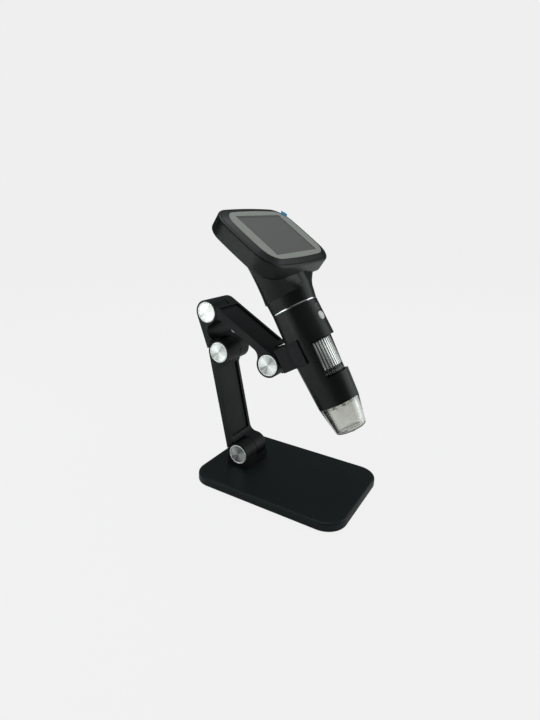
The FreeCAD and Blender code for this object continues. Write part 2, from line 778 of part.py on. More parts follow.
carriage_mid = "-carriage_top - carriage_length / 2"
carriage_tube = ring("carriage_tube", "carriage_radius", "carriage_bore",
                     "-carriage_top - carriage_length", "-carriage_top")
drive_pins = cylinder("drive_pins", "drive_pin_radius", "2 * drive_pin_reach",
                      ("0", "-drive_pin_reach", carriage_mid), ACROSS)
light_way = cylinder("light_way", "carriage_bore", "carriage_length",
                     ("0", "0", "-carriage_top - carriage_length"))
piece(cut("carriage_cut", fuse("carriage_blank", carriage_tube, drive_pins), light_way),
      "lens_carriage", SCOPE_FRAME)
lens_low = "-carriage_top - carriage_length"
piece(turned("lens_turned", [
    ("0", lens_low), ("carriage_bore - running_play", lens_low + " + lens_thick / 4"),
    ("carriage_bore - running_play", lens_low + " + 3 * lens_thick / 4"),
    ("0", lens_low + " + lens_thick")]), "objective_lens", SCOPE_FRAME)

sensor_low = "-guide_top"
piece(cylinder("sensor_disc", "sensor_board_radius", "board_thick",
               ("0", "0", sensor_low)), "sensor_board", SCOPE_FRAME)
piece(centred_box("sensor_chip", "sensor_size", "sensor_size", "sensor_thick",
                  ("0", "0", sensor_low + " - sensor_thick")), "image_sensor", SCOPE_FRAME)

# Light ring with its LEDs, and the clear tip pushed into the barrel's nose
light_low = "-light_board_depth - board_thick"
piece(ring("light_ring", "light_board_radius", "light_board_bore", light_low,
           "-light_board_depth"), "light_board", SCOPE_FRAME)
leds = []
for index in range(int(SIZES["led_count"])):
    angle = 360.0 * index / SIZES["led_count"]
    leds.append(cylinder("led_%d" % (index + 1), "led_radius", "led_height",
                         ("led_ring_radius * cos(%.3f)" % angle,
                          "led_ring_radius * sin(%.3f)" % angle,
                          light_low + " - led_height")))
piece(group("led_group", *leds), "ring_leds", SCOPE_FRAME)

tip_low = "-barrel_length - tip_length"
tip_body = turned("tip_turned", [
    ("barrel_end_radius - running_play", "-barrel_length"),
    ("tip_end_radius + tip_floor / 3", tip_low + " + tip_floor"),
    ("tip_end_radius - tip_floor / 2", tip_low),
    ("0", tip_low), ("0", tip_low + " + tip_floor"),
    ("tip_bore_end", tip_low + " + tip_floor"),
    ("tip_bore", "-light_board_depth - board_thick - running_play"),
    ("tip_bore", "tip_collar - barrel_length"),
    ("nose_bore - running_play", "tip_collar - barrel_length"),
    ("nose_bore - running_play", "-barrel_length")])
nub = cylinder("tip_nub_disc", "tip_nub * 1.5", "tip_nub + tip_floor / 2",
               ("0.4 * tip_end_radius", "-0.5 * tip_end_radius", tip_low + " - tip_nub"))
piece(fuse("tip_nubbed", tip_body, nub), "clear_tip", SCOPE_FRAME)

# Snap button and the switch under it
button_face = "barrel_top_radius + button_rise"
button = turned("button_turned", [
    ("0", button_face), ("button_radius * 0.55", button_face + " - button_rise * 0.15"),
    ("button_radius * 0.9", button_face + " - button_rise * 0.5"),
    ("button_radius", button_face + " - button_rise"),
    ("button_radius", "barrel_bore - 0.4 - button_travel / 4"),
    ("button_flange", "barrel_bore - 0.4 - button_travel / 4"),
    ("button_flange", "barrel_bore - 1.6"), ("0", "barrel_bore - 1.6")])
button_frame = SCOPE_FRAME * Placement(Vector(0, 0, -SIZES["button_depth"]), outward)
piece(button, "snap_button", button_frame)
switch_high = "barrel_bore - 1.6 - button_travel - 0.1"
piece(centred_box("switch_block", "switch_size", "switch_size", "switch_height",
                  ("0", "0", switch_high + " - switch_height")), "button_switch",
      button_frame)


# Display head: its outlines are rectangles with bowed sides and round corners
def bowed_corners(kind, shrink):
    """Centres and radii of the right, top and corner arcs of an outline."""
    half_width = SIZES[kind + "_width"] / 2 - shrink
    half_height = SIZES[kind + "_height"] / 2 - shrink
    side = SIZES[kind + "_side_bow"] - shrink
    top = SIZES[kind + "_top_bow"] - shrink
    corner = SIZES[kind + "_corner"] - shrink
    side_centre = Vector(half_width - side, 0, 0)
    top_centre = Vector(0, half_height - top, 0)
    apart = (side_centre - top_centre).Length
    along = (apart ** 2 + (top - corner) ** 2 - (side - corner) ** 2) / (2 * apart)
    away = math.sqrt((top - corner) ** 2 - along ** 2)
    towards = (side_centre - top_centre).normalize()
    square_to = Vector(towards.y, -towards.x, 0)
    corner_centre = top_centre + towards * along + square_to * away
    side_end = side_centre + (corner_centre - side_centre).normalize() * side
    top_end = top_centre + (corner_centre - top_centre).normalize() * top
    mean = (corner_centre - side_centre).normalize() \
        + (corner_centre - top_centre).normalize()
    corner_middle = corner_centre + mean.normalize() * corner
    return side_end, corner_middle, top_end, half_width, half_height


def bowed_outline(kind, shrink, frame):
    side_end, corner_middle, top_end, half_width, half_height = bowed_corners(kind, shrink)
    quarters = []
    for across, up in ((1, 1), (-1, 1), (-1, -1), (1, -1)):
        ends = [side_end, corner_middle, top_end]
        ends = [Vector(end.x * across, end.y * up, 0) for end in ends]
        quarters.append(ends if across * up > 0 else ends[::-1])
    middles = [Vector(0, half_height, 0), Vector(-half_width, 0, 0),
               Vector(0, -half_height, 0), Vector(half_width, 0, 0)]
    arcs = []
    for index, quarter in enumerate(quarters):
        following = quarters[(index + 1) % 4]
        arcs.append(quarter)
        arcs.append([quarter[2], middles[index], following[0]])
    return Part.Wire([Part.Arc(*[frame.multVec(point) for point in arc]).toShape()
                      for arc in arcs])


def round_outline(radius, kind, frame):
    """A circle split in eight, to pair with the arcs of a bowed outline."""
    side_end, _, top_end, _, _ = bowed_corners(kind, 0)
    low = math.atan2(side_end.y, side_end.x)
    high = math.atan2(top_end.y, top_end.x)
    turns = [low, high, math.pi - high, math.pi - low, math.pi + low, math.pi + high,
             -high, -low, low]
    turns = [turn + (2 * math.pi if index > 5 else 0) for index, turn in enumerate(turns)]
    turns[8] = low + 2 * math.pi
    arcs = []
    for start, end in zip(turns, turns[1:]):
        points = [Vector(radius * math.cos(turn), radius * math.sin(turn), 0)
                  for turn in (start, (start + end) / 2, end)]
        arcs.append(Part.Arc(*[frame.multVec(point) for point in points]).toShape())
    return Part.Wire(arcs)


def on_head(depth):
    """Plane parallel to the display, the given depth behind its glass."""
    return Placement(Vector(0, 0, -depth), Rotation())


def on_neck(height):
    """Plane square to the barrel, the given height above the bright ring."""
    return HEAD_ON_SCOPE.inverse() * facing(0, height, 90)


def slab(kind, shrink, front, back):
    """A bowed plate between two depths behind the glass."""
    face = Part.Face(bowed_outline(kind, shrink, on_head(back)))
    return face.extrude(Vector(0, 0, back - front))


def head_form(shrink):
    """The head and its neck as one solid, drawn in by shrink on every side."""
    crown = SIZES["head_crown"]
    depth = SIZES["head_depth"]
    if shrink == 0:
        sides = slab("head", 0, crown, depth)
        front = [edge for edge in sides.Edges
                 if edge.BoundBox.ZLength < 0.01 and edge.BoundBox.ZMin > -crown - 0.01]
        sides = sides.makeFillet(SIZES["rim_round"], front)
        back = [edge for edge in sides.Edges
                if edge.BoundBox.ZLength < 0.01 and edge.BoundBox.ZMax < 0.01 - depth]
        sides = sides.makeFillet(SIZES["back_round"], back)
        brow = Part.makeLoft([
            bowed_outline("head", SIZES["rim_round"], on_head(crown + 0.2)),
            bowed_outline("glass", -SIZES["glass_lip"], on_head(0))], True, True)
        sides = sides.fuse(brow)
    else:
        sides = slab("head", shrink, SIZES["ledge_depth"], depth - shrink)
    neck_top = SIZES["neck_radius"] - shrink
    neck_low = SIZES["ring_radius"] - shrink
    buried = 0.55 * depth
    funnel = Part.makeLoft([
        bowed_outline("funnel", shrink, on_head(buried)),
        round_outline(neck_top - 0.4, "funnel", on_neck(SIZES["neck_height"] - 3))],
        True, True)
    axis = on_neck(0)
    up = axis.Rotation.multVec(Vector(0, 0, 1))
    forward = SIZES["neck_forward"]
    lean = 0.5 * forward
    ahead = HEAD_ON_SCOPE.inverse() * facing(lean, SIZES["neck_height"], 90)
    cone = Part.makeLoft([
        Part.Wire(Part.makeCircle(neck_low, axis.Base, up)),
        Part.Wire(Part.makeCircle(neck_top - lean, ahead.Base, up))], True, True)
    post_low = HEAD_ON_SCOPE.inverse() * facing(forward, SIZES["neck_height"], 90)
    post = Part.makeCylinder(neck_top - 1.15 * forward, SIZES["neck_rise"],
                             post_low.Base, up)
    return sides.fuse([funnel, cone.fuse(post)]).removeSplitter()


def parting_tool():
    """Everything in front of the line where the two half shells meet."""
    to_head = HEAD_ON_SCOPE.inverse()
    floor_line = 1.4 * SIZES["head_wall"] - SIZES["head_height"] / 2
    behind = HEAD_ON_SCOPE.multVec(Vector(0, floor_line, -SIZES["head_depth"] - 2))
    low_edge = HEAD_ON_SCOPE.multVec(Vector(0, floor_line, -SIZES["parting_depth"]))
    high_edge = HEAD_ON_SCOPE.multVec(
        Vector(0, SIZES["head_height"], -SIZES["parting_depth"]))
    bend = SIZES["neck_height"]
    side = SIZES["head_width"]
    below = -SIZES["neck_radius"] / 3
    seam = SIZES["neck_radius"]
    profile = [Vector(-0.16 * seam, 0, below), Vector(-0.14 * seam, 0, bend * 0.35),
               Vector(0, 0, bend * 0.8), Vector(0.29 * seam, 0, bend * 1.15), behind,
               low_edge, high_edge, Vector(side, 0, high_edge.z), Vector(side, 0, below)]
    points = [to_head.multVec(point + Vector(0, -side, 0)) for point in profile]
    face = Part.Face(Part.makePolygon(points + points[:1]))
    return face.extrude(to_head.Rotation.multVec(Vector(0, 2 * side, 0)))


outside = head_form(0)
inside = head_form(SIZES["head_wall"])
front_part = parting_tool()
breadth = 2 * SIZES["head_width"]
roof = Part.makeBox(2 * breadth, 2 * breadth, breadth,
                    Vector(-breadth, -breadth, -SIZES["ledge_depth"]))
inside = inside.cut(roof)
shell_form = outside.cut(inside)
bezel_form = free_form("bezel_form", shell_form.common(front_part))
housing_form = free_form("housing_form", shell_form.cut(front_part))
glass_form = slab("glass", 0, 0, SIZES["glass_thick"])
glass_seat = slab("glass", -SIZES["glass_play"], -SIZES["head_depth"],
                  SIZES["glass_thick"])

corners = [(across, up) for across in ("boss_across", "-boss_across")
           for up in ("boss_up", "-boss_up")]
boss_low = "-head_depth + head_wall + 0.2"
bosses = [cylinder("boss_%d" % index, "boss_radius",
                   "head_depth - head_wall - 0.2 - ledge_depth",
                   (across, up, boss_low)) for index, (across, up) in enumerate(corners)]
boss_holes = [cylinder("boss_hole_%d" % index, "case_screw_radius + running_play", "7",
                       (across, up, boss_low)) for index, (across, up) in enumerate(corners)]
view_hole = centred_box("view_hole", "active_width + 1", "active_height + 1", "head_depth",
                        ("0", "0", "-ledge_depth - 1"))
piece(cut("bezel_cut", fuse("bezel_bossed", bezel_form, *bosses),
          free_form("glass_seat", glass_seat), view_hole, *boss_holes),
      "front_bezel", HEAD_FRAME)

port_low = "-ledge_depth - panel_thick - board_thick"
usb_hole = box("usb_hole", "usb_length + 4", "usb_width + 0.4", "usb_height + 0.4",
               ("head_width / 2 - usb_length", "usb_up - usb_width / 2 - 0.2",
                port_low + " - usb_height - 0.2"))
card_hole = box("card_hole", "card_length + 4", "card_width + 0.4", "card_height + 0.4",
                ("head_width / 2 - card_length", "card_up - card_width / 2 - 0.2",
                 port_low + " - card_height - 0.2"))
power_hole = cylinder("power_hole", "power_radius + 0.2", "2 * head_wall",
                      ("power_across", "power_up", "-head_depth - head_wall / 2"))
screw_holes = []
for index, (across, up) in enumerate(corners):
    screw_holes.append(cylinder("case_hole_%d" % index, "case_screw_radius + 0.15",
                                "2 * head_wall", (across, up, "-head_depth - 0.1")))
    screw_holes.append(cylinder("case_sink_%d" % index, "case_screw_head + 0.15",
                                "1 + head_wall / 2", (across, up, "-head_depth - 1")))
piece(cut("housing_cut", housing_form, usb_hole, card_hole, power_hole, *screw_holes),
      "rear_housing", HEAD_FRAME)

piece(free_form("glass", glass_form), "display_glass", HEAD_FRAME)
piece(centred_box("panel", "active_width + 2 * panel_margin",
                  "active_height + 2 * panel_top_margin", "panel_thick",
                  ("0", "0", "-ledge_depth - panel_thick")), "lcd_panel", HEAD_FRAME)
piece(centred_box("board", "2 * (boss_across - boss_radius - board_gap)",
                  "main_board_height", "board_thick",
                  ("0", "0", port_low)), "main_board", HEAD_FRAME)
chips = [centred_box("chip_%d" % index, length, width, "chip_height",
                     (across, up, port_low + " - chip_height"))
         for index, (across, up, length, width) in enumerate((
             ("-12", "2", "12", "12"), ("6", "8", "9", "7"), ("5", "-8", "6", "6")))]
key_switch = centred_box("key_switch", "4.5", "4.5", "key_switch_height",
                         ("power_across", "power_up", port_low + " - key_switch_height"))
piece(group("chip_group", key_switch, *chips), "board_chips", HEAD_FRAME)
piece(centred_box("battery_pouch", "battery_width", "battery_height", "battery_thick",
                  ("2", "0", port_low + " - chip_height - battery_thick - running_play")),
      "battery", HEAD_FRAME)

usb_shell = box("usb_shell", "usb_length", "usb_width", "usb_height",
                ("head_width / 2 - head_wall / 2 - usb_length", "usb_up - usb_width / 2",
                 port_low + " - usb_height"))
usb_mouth = box("usb_mouth", "usb_length", "usb_width - 0.8", "usb_height - 0.8",
                ("head_width / 2 - head_wall / 2 - usb_length + 1.5",
                 "usb_up - usb_width / 2 + 0.4", port_low + " - usb_height + 0.4"))
usb_tongue = box("usb_tongue", "usb_length - 2", "usb_width - 2.4", "0.7",
                 ("head_width / 2 - head_wall / 2 - usb_length + 0.5",
                  "usb_up - usb_width / 2 + 1.2", port_low + " - usb_height / 2 - 0.35"))
piece(fuse("usb_joined", cut("usb_cut", usb_shell, usb_mouth), usb_tongue),
      "charge_socket", HEAD_FRAME)
card_shell = box("card_shell", "card_length", "card_width", "card_height",
                 ("head_width / 2 - head_wall - card_length", "card_up - card_width / 2",
                  port_low + " - card_height"))
card_mouth = box("card_mouth", "card_length", "card_width - 0.8", "card_height - 0.8",
                 ("head_width / 2 - head_wall - card_length + 1.5",
                  "card_up - card_width / 2 + 0.4", port_low + " - card_height + 0.4"))
piece(cut("card_cut", card_shell, card_mouth), "card_socket", HEAD_FRAME)

power_low = "-head_depth - power_rise"
power = turned("power_turned", [
    ("0", power_low), ("power_radius * 0.7", power_low),
    ("power_radius", power_low + " + power_rise / 2"),
    ("power_radius", "-head_depth + head_wall + power_travel / 2"),
    ("power_radius + 0.8", "-head_depth + head_wall + power_travel / 2"),
    ("power_radius + 0.8", "-head_depth + head_wall + power_travel / 2 + 0.6"),
    ("0", "-head_depth + head_wall + power_travel / 2 + 0.6")])
piece(power, "power_button",
      HEAD_FRAME * Placement(Vector(SIZES["power_across"], SIZES["power_up"], 0),
                             Rotation()))

case_screws = []
for index, (across, up) in enumerate(corners):
    head = cylinder("case_screw_head_%d" % index, "case_screw_head", "head_wall / 2",
                    (across, up, "-head_depth"))
    shank = cylinder("case_screw_shank_%d" % index, "case_screw_radius", "6.5",
                     (across, up, "-head_depth + head_wall / 2"))
    case_screws.append(fuse("case_screw_%d" % index, head, shank))
piece(group("case_screw_group", *case_screws), "case_screws", HEAD_FRAME)

# Pull tab of the film on the glass, across the glass's upper corner
tab = box("tab_sheet", "tab_length", "tab_width", "film_thick",
          ("glass_width / 2 - tab_side_inset", "glass_height / 2 - tab_top_inset", "0"),
          Rotation(Vector(0, 0, 1), SIZES["tab_turn"]))
piece(tab, "film_tab", HEAD_FRAME)

# Build, test and write every piece
doc.recompute()
faults = []
for feature in doc.Objects:
    if "Invalid" in feature.State or "Error" in feature.State:
        faults.append("%s: %s" % (feature.Name, feature.State))
for part in parts:
    if part.Shape.isNull() or not part.Shape.isValid() or not part.Shape.Solids:
        faults.append("%s has no sound solid" % part.Label)
labels = [part.Label for part in parts]
if len(set(labels)) != len(labels):
    faults.append("two pieces share a name")
if faults:
    raise RuntimeError("; ".join(faults))

os.makedirs("parts", exist_ok=True)
total = FreeCAD.BoundBox()
for part in parts:
    part.Shape.exportStep("parts/%s.step" % part.Label)
    total.add(part.Shape.BoundBox)
print("%d pieces, box %.1f x %.1f x %.1f mm" % (
    len(parts), total.XLength, total.YLength, total.ZLength))
for name, centre in (("base hinge", BASE_HINGE), ("elbow", ELBOW),
                     ("shoulder", SHOULDER), ("holder hinge", HOLDER),
                     ("bright ring", SCOPE_FRAME.Base)):
    print("%s at (%.3f, %.3f, %.3f)" % (name, centre.x, centre.y, centre.z))
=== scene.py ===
# %% [markdown]
# A pocket microscope with its own small display sits in the clip of a folding
# stand. The solids come in as a fixed frame in metres. This lesson gives them
# their finishes, and makes the pieces that show more than plain solids do: the
# spun caps, the wheel and its dial, the clear tip, the button, the film tab and
# the mouldings with their rounded corners.

# %% Load the solids
import bpy
import bmesh
import json
import math
from mathutils import Matrix, Vector


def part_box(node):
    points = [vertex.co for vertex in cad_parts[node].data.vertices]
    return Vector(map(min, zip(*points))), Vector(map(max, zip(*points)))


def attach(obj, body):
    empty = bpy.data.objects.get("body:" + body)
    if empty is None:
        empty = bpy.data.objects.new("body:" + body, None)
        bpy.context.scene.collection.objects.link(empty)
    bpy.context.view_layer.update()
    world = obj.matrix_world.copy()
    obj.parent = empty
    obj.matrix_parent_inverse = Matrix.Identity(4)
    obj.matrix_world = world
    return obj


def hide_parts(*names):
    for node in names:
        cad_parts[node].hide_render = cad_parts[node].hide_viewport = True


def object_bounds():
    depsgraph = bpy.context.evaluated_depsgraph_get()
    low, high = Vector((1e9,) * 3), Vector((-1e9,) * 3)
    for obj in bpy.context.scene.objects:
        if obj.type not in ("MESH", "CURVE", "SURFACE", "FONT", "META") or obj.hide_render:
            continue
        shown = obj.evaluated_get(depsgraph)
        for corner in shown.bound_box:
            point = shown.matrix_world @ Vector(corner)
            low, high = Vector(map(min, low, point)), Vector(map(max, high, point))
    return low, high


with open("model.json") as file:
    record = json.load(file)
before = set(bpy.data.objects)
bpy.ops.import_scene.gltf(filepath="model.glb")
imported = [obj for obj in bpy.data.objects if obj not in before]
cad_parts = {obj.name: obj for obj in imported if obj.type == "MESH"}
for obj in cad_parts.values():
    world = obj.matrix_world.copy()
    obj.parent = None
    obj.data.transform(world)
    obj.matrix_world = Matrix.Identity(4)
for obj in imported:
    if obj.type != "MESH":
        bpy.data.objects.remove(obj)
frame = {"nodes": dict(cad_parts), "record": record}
nodes = frame["nodes"]
solid_low, solid_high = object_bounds()
MM = 0.001


def box_in_mm(low, high):
    """The three edges of a box, in mm."""
    return [round((far - near) / MM, 1) for near, far in zip(low, high)]


print("solids:", len(nodes), "box in mm:", box_in_mm(solid_low, solid_high))

# %% [markdown]
# The camera comes first, because everything is judged through it. The photograph
# was taken from the front left, a little above the stand, with a wide lens from
# close by: the base plate's edges run together quickly. The place and the turn
# below were found from the plate's corners, the hinge caps and the display. The
# focal length and the picture's height are in pixels; the sensor is in mm.

# %% Camera
CAMERA_PLACE = Vector((137.88, -262.47, 189.15)) * MM
PICTURE_HEIGHT, FOCAL_LENGTH, SENSOR = 720, 461.05, 36.0
AZIMUTH, PITCH, ROLL = (math.radians(angle) for angle in (30.53, 18.07, 1.72))
backwards = Vector((math.sin(AZIMUTH) * math.cos(PITCH),
                    -math.cos(AZIMUTH) * math.cos(PITCH), math.sin(PITCH)))
level_right = Vector((math.cos(AZIMUTH), math.sin(AZIMUTH), 0))
level_up = backwards.cross(level_right)
right = level_right * math.cos(ROLL) + level_up * math.sin(ROLL)
up = level_up * math.cos(ROLL) - level_right * math.sin(ROLL)

camera_data = bpy.data.cameras.new("photo_camera")
camera_data.sensor_width = SENSOR
camera_data.lens = FOCAL_LENGTH / PICTURE_HEIGHT * SENSOR
camera_data.clip_start = 0.01
camera = bpy.data.objects.new("photo_camera", camera_data)
bpy.context.scene.collection.objects.link(camera)
camera.matrix_world = Matrix((right, up, backwards)).transposed().to_4x4()
camera.location = CAMERA_PLACE
bpy.context.scene.camera = camera
print("lens:", round(camera_data.lens, 2), "mm")

# %% [markdown]
# Product photographs of black plastic are lit by large soft boxes, because a
# dark satin surface shows little but what it mirrors. One large lamp stands to
# the right and a little behind, so that the barrel is light along its right side
# only. One hangs above, and a low faint one stands in front. The caps mirror the
# floor to the left of the camera, so a narrow lamp lights just that patch of it.
# The sky gives a little fill from above and is dark near the horizon, because the
# base's top mirrors exactly that part of it.

# %% Lamps
scene = bpy.context.scene
scene.view_settings.view_transform = "Standard"
AIM = Vector((0.0, 0.0, 0.09))
MIRRORED_PATCH = Vector((-0.42, -0.5, 0.0))
LAMP_COLOUR = (0.94, 1.0, 0.985)


def soft_box(name, place, width, height, watts, aim=AIM, spread=180.0):
    """A rectangular area lamp, aimed at the middle of the object or elsewhere."""
    lamp = bpy.data.lights.new(name, "AREA")
    lamp.shape = "RECTANGLE"
    lamp.size, lamp.size_y, lamp.energy = width, height, watts
    lamp.spread = math.radians(spread)
    lamp.color = LAMP_COLOUR
    light = bpy.data.objects.new(name, lamp)
    scene.collection.objects.link(light)
    light.location = Vector(place)
    light.rotation_euler = (aim - Vector(place)).to_track_quat("-Z", "Y").to_euler()


soft_box("right_box", (0.75, 0.6, 0.4), 0.8, 0.9, 3.6)
soft_box("top_box", (-0.1, -0.05, 1.0), 0.9, 0.7, 4.5)
soft_box("front_box", (-0.5, -0.8, 0.18), 0.6, 0.35, 1.3)
soft_box("floor_box", MIRRORED_PATCH + Vector((0.0, 0.0, 0.6)), 0.4, 0.4, 1.8,
         aim=MIRRORED_PATCH, spread=80.0)

# %% [markdown]
# Colours are written as the hex values a painter's chart would give, in sRGB.
# Blender's shaders count in linear light, so one function turns them over.

# %% Colour and node helpers


def linear(hex_colour):
    """An sRGB hex colour as the linear values that a shader wants."""
    channels = [int(hex_colour[at:at + 2], 16) / 255 for at in (1, 3, 5)]
    return tuple(value / 12.92 if value <= 0.04045 else ((value + 0.055) / 1.055) ** 2.4
                 for value in channels) + (1.0,)


def add_node(material, kind, settings=None, links=None):
    """One node of a material or a world, with its settings and the links into it."""
    tree = material.node_tree
    node = tree.nodes.new(kind)
    for name, value in (settings or {}).items():
        if isinstance(name, int) or name in node.inputs:
            node.inputs[name].default_value = value
        else:
            setattr(node, name, value)
    for socket, source in (links or {}).items():
        tree.links.new(source, node.inputs[socket])
    return node


def new_material(name):
    """A material with an empty node tree."""
    material = bpy.data.materials.new(name)
    material.use_nodes = True
    material.node_tree.nodes.clear()
    return material


def finish_material(material, shader):
    """Joins a shader to the surface of its material."""
    add_node(material, "ShaderNodeOutputMaterial", None, {"Surface": shader.outputs[0]})
    return material


print("mid grey #808080 is", round(linear("#808080")[0], 3), "in linear light")

# %% [markdown]
# The background is one even pale grey with no horizon. The eye sees the sky in
# that grey, also through the clear tip, while mirrors and soft light get a dimmer
# fill, which rises with the height above the horizon.

# %% Sky
BACKDROP = linear("#efefef")
FILL_LOW, FILL_HIGH, FILL_START = 0.07, 0.5, 0.3
world = bpy.data.worlds.new("studio")
scene.world = world
world.use_nodes = True
world.node_tree.nodes.clear()
seen = add_node(world, "ShaderNodeBackground", {"Color": BACKDROP, "Strength": 1.0})
direction = add_node(world, "ShaderNodeTexCoord")
height = add_node(world, "ShaderNodeSeparateXYZ", None, {0: direction.outputs["Generated"]})
rise = add_node(world, "ShaderNodeMapRange",
                {"From Min": FILL_START, "From Max": 1.0, "To Min": FILL_LOW,
                 "To Max": FILL_HIGH}, {"Value": height.outputs["Z"]})
fill = add_node(world, "ShaderNodeBackground", {"Color": linear("#f0f7f8")},
                {"Strength": rise.outputs["Result"]})
path = add_node(world, "ShaderNodeLightPath")
direct = add_node(world, "ShaderNodeMath", {"operation": "MAXIMUM"},
                  {0: path.outputs["Is Camera Ray"], 1: path.outputs["Is Transmission Ray"]})
sky = add_node(world, "ShaderNodeMixShader", None,
               {0: direct.outputs[0], 1: fill.outputs[0], 2: seen.outputs[0]})
add_node(world, "ShaderNodeOutputWorld", None, {"Surface": sky.outputs[0]})
print("the sky's fill rises from", FILL_LOW, "to", FILL_HIGH)

# %% [markdown]
# The floor is a wide sheet of pale paper just under the base. To the eye it is
# nearly all the grey of the sky, and keeps a small share of real paper for a faint
# shadow. That share comes out a little darker, so the grey is raised to make up
# for it. Mirrors and soft light get the paper alone.

# %% Floor
GREY_SHARE, GREY_RAISED = 0.95, 1.035
FLOOR_HALF, FLOOR_GAP = 3.0, 0.2 * MM
floor_height = solid_low.z - FLOOR_GAP
floor_mesh = bpy.data.meshes.new("floor")
sheet = bmesh.new()
bmesh.ops.create_grid(sheet, x_segments=1, y_segments=1, size=FLOOR_HALF)
bmesh.ops.translate(sheet, verts=sheet.verts, vec=(0, 0, floor_height))
sheet.to_mesh(floor_mesh)
sheet.free()
floor = bpy.data.objects.new("floor", floor_mesh)
scene.collection.objects.link(floor)
pale = new_material("pale_paper")
paper = add_node(pale, "ShaderNodeBsdfDiffuse", {"Color": linear("#e9e9e9")})
glow = add_node(pale, "ShaderNodeEmission", {"Color": BACKDROP, "Strength": GREY_RAISED})
ray = add_node(pale, "ShaderNodeLightPath")
looked_at = add_node(pale, "ShaderNodeMath", {"operation": "MAXIMUM"},
                     {0: ray.outputs["Is Camera Ray"], 1: ray.outputs["Is Transmission Ray"]})
share = add_node(pale, "ShaderNodeMath", {"operation": "MULTIPLY", 1: GREY_SHARE},
                 {0: looked_at.outputs[0]})
paper_mix = add_node(pale, "ShaderNodeMixShader", None,
                     {0: share.outputs[0], 1: paper.outputs[0], 2: glow.outputs[0]})
floor_mesh.materials.append(finish_material(pale, paper_mix))
print("floor at", round(floor_height / MM, 2), "mm")

# %% [markdown]
# Most of this object is moulded black plastic. Up close such a moulding is never
# one colour: the mould was spark eroded, so it has a fine grain, and handling
# leaves patches that are a little smoother. Each finish below has a grain of a
# real size in millimetres for its bump, and slow patches for its roughness.

# %% Grained surface
# How wide a slow patch is, in mm.
PATCH = 22.0


def grained(name, dark, light, roughness, spread, grain, depth, metallic=0.0, specular=0.5):
    """A surface with a fine grain (mm) and slow patches of colour and gloss."""
    material = new_material(name)
    place = add_node(material, "ShaderNodeTexCoord")
    fine = add_node(material, "ShaderNodeTexNoise",
                    {"Scale": 1000 / grain, "Detail": 3.0, "Roughness": 0.6},
                    {"Vector": place.outputs["Object"]})
    slow = add_node(material, "ShaderNodeTexNoise", {"Scale": 1000 / PATCH, "Detail": 2.0},
                    {"Vector": place.outputs["Object"]})
    gloss = add_node(material, "ShaderNodeMapRange",
                     {"From Min": 0.3, "From Max": 0.7, "To Min": roughness - spread,
                      "To Max": roughness + spread}, {"Value": slow.outputs["Fac"]})
    colour = add_node(material, "ShaderNodeMixRGB",
                      {"Color1": linear(dark), "Color2": linear(light)},
                      {"Fac": slow.outputs["Fac"]})
    bump = add_node(material, "ShaderNodeBump", {"Strength": 1.0, "Distance": depth * MM},
                    {"Height": fine.outputs["Fac"]})
    shader = add_node(material, "ShaderNodeBsdfPrincipled",
                      {"Metallic": metallic, "Specular IOR Level": specular},
                      {"Base Color": colour.outputs["Color"],
                       "Roughness": gloss.outputs["Result"],
                       "Normal": bump.outputs["Normal"]})
    return finish_material(material, shader)


print("slow patches are", PATCH, "mm wide")

# %% [markdown]
# Each line below is one real material. Its two colours lie close together, since
# a moulding, a paint or a sheet varies only a little. The plastics of the stand
# and of the scope differ in gloss: the scope's mould was polished finer.

# %% Moulded and painted finishes
# Acrylonitrile butadiene styrene, spark-eroded mould: a soft, deep black.
arm_abs = grained("abs_spark_eroded_black", "#080c0d", "#0d1213", 0.48, 0.05, 0.35, 0.006,
                  specular=0.22)
# The same plastic polished finer for the scope, with a closer highlight.
scope_abs = grained("abs_satin_black", "#080b0b", "#0c1010", 0.36, 0.04, 0.3, 0.004,
                    specular=0.3)
# Powder-coated steel sheet: a slight orange peel, a touch greyer than the plastic.
coated_steel = grained("powder_coated_steel_black", "#0d1415", "#121a1b", 0.42, 0.04,
                       0.8, 0.008, specular=0.2)
rubber = grained("nitrile_rubber_black", "#0e0f0f", "#151616", 0.75, 0.08, 0.5, 0.02)
zinc_steel = grained("zinc_plated_steel", "#a7a8a6", "#bfc0be", 0.3, 0.06, 0.4, 0.004, 1.0)
cold_rolled_steel = grained("cold_rolled_steel", "#6f7173", "#86888a", 0.42, 0.08, 0.6,
                            0.006, 1.0)
nylon = grained("nylon_natural", "#c9c6ba", "#d8d6cc", 0.5, 0.05, 0.4, 0.004)
solder_mask = grained("solder_mask_green", "#0d3b23", "#11502f", 0.3, 0.05, 1.2, 0.01)
white_mask = grained("solder_mask_white", "#d5d6d0", "#e4e5e0", 0.35, 0.05, 1.2, 0.006)
epoxy = grained("epoxy_moulding_black", "#121313", "#1c1d1d", 0.55, 0.08, 0.15, 0.008)
foil = grained("laminated_foil_silver", "#a9abae", "#c4c6c8", 0.28, 0.08, 2.5, 0.02, 1.0)
button_plastic = grained("abs_gloss_pale_grey", "#dcddd9", "#e3e4e0", 0.22, 0.03, 2.0,
                         0.0005)
# The drum between the wheel's bars lies in their shade, and its black is painted shade.
drum_painted_shade = grained("abs_black_painted_shade", "#0c0e0e", "#121414", 0.45, 0.05, 0.4, 0.006)
# Pad-printed inks, worn faint.
dial_grey = grained("printing_ink_dial_grey", "#8d9292", "#a2a6a6", 0.5, 0.05, 0.2, 0.002)
sign_grey = grained("printing_ink_sign_grey", "#6a7072", "#7c8284", 0.5, 0.05, 0.2, 0.002)
led_epoxy = grained("led_epoxy_cream", "#e8e4c8", "#f2efd9", 0.15, 0.03, 0.6, 0.002)
print("moulded finishes made")

# %% [markdown]
# Chrome plate on plastic mirrors nearly everything and has almost no colour of
# its own. Clear acrylic bends light as window glass does, and the moulded tip is
# faintly cloudy from the flow of the plastic.

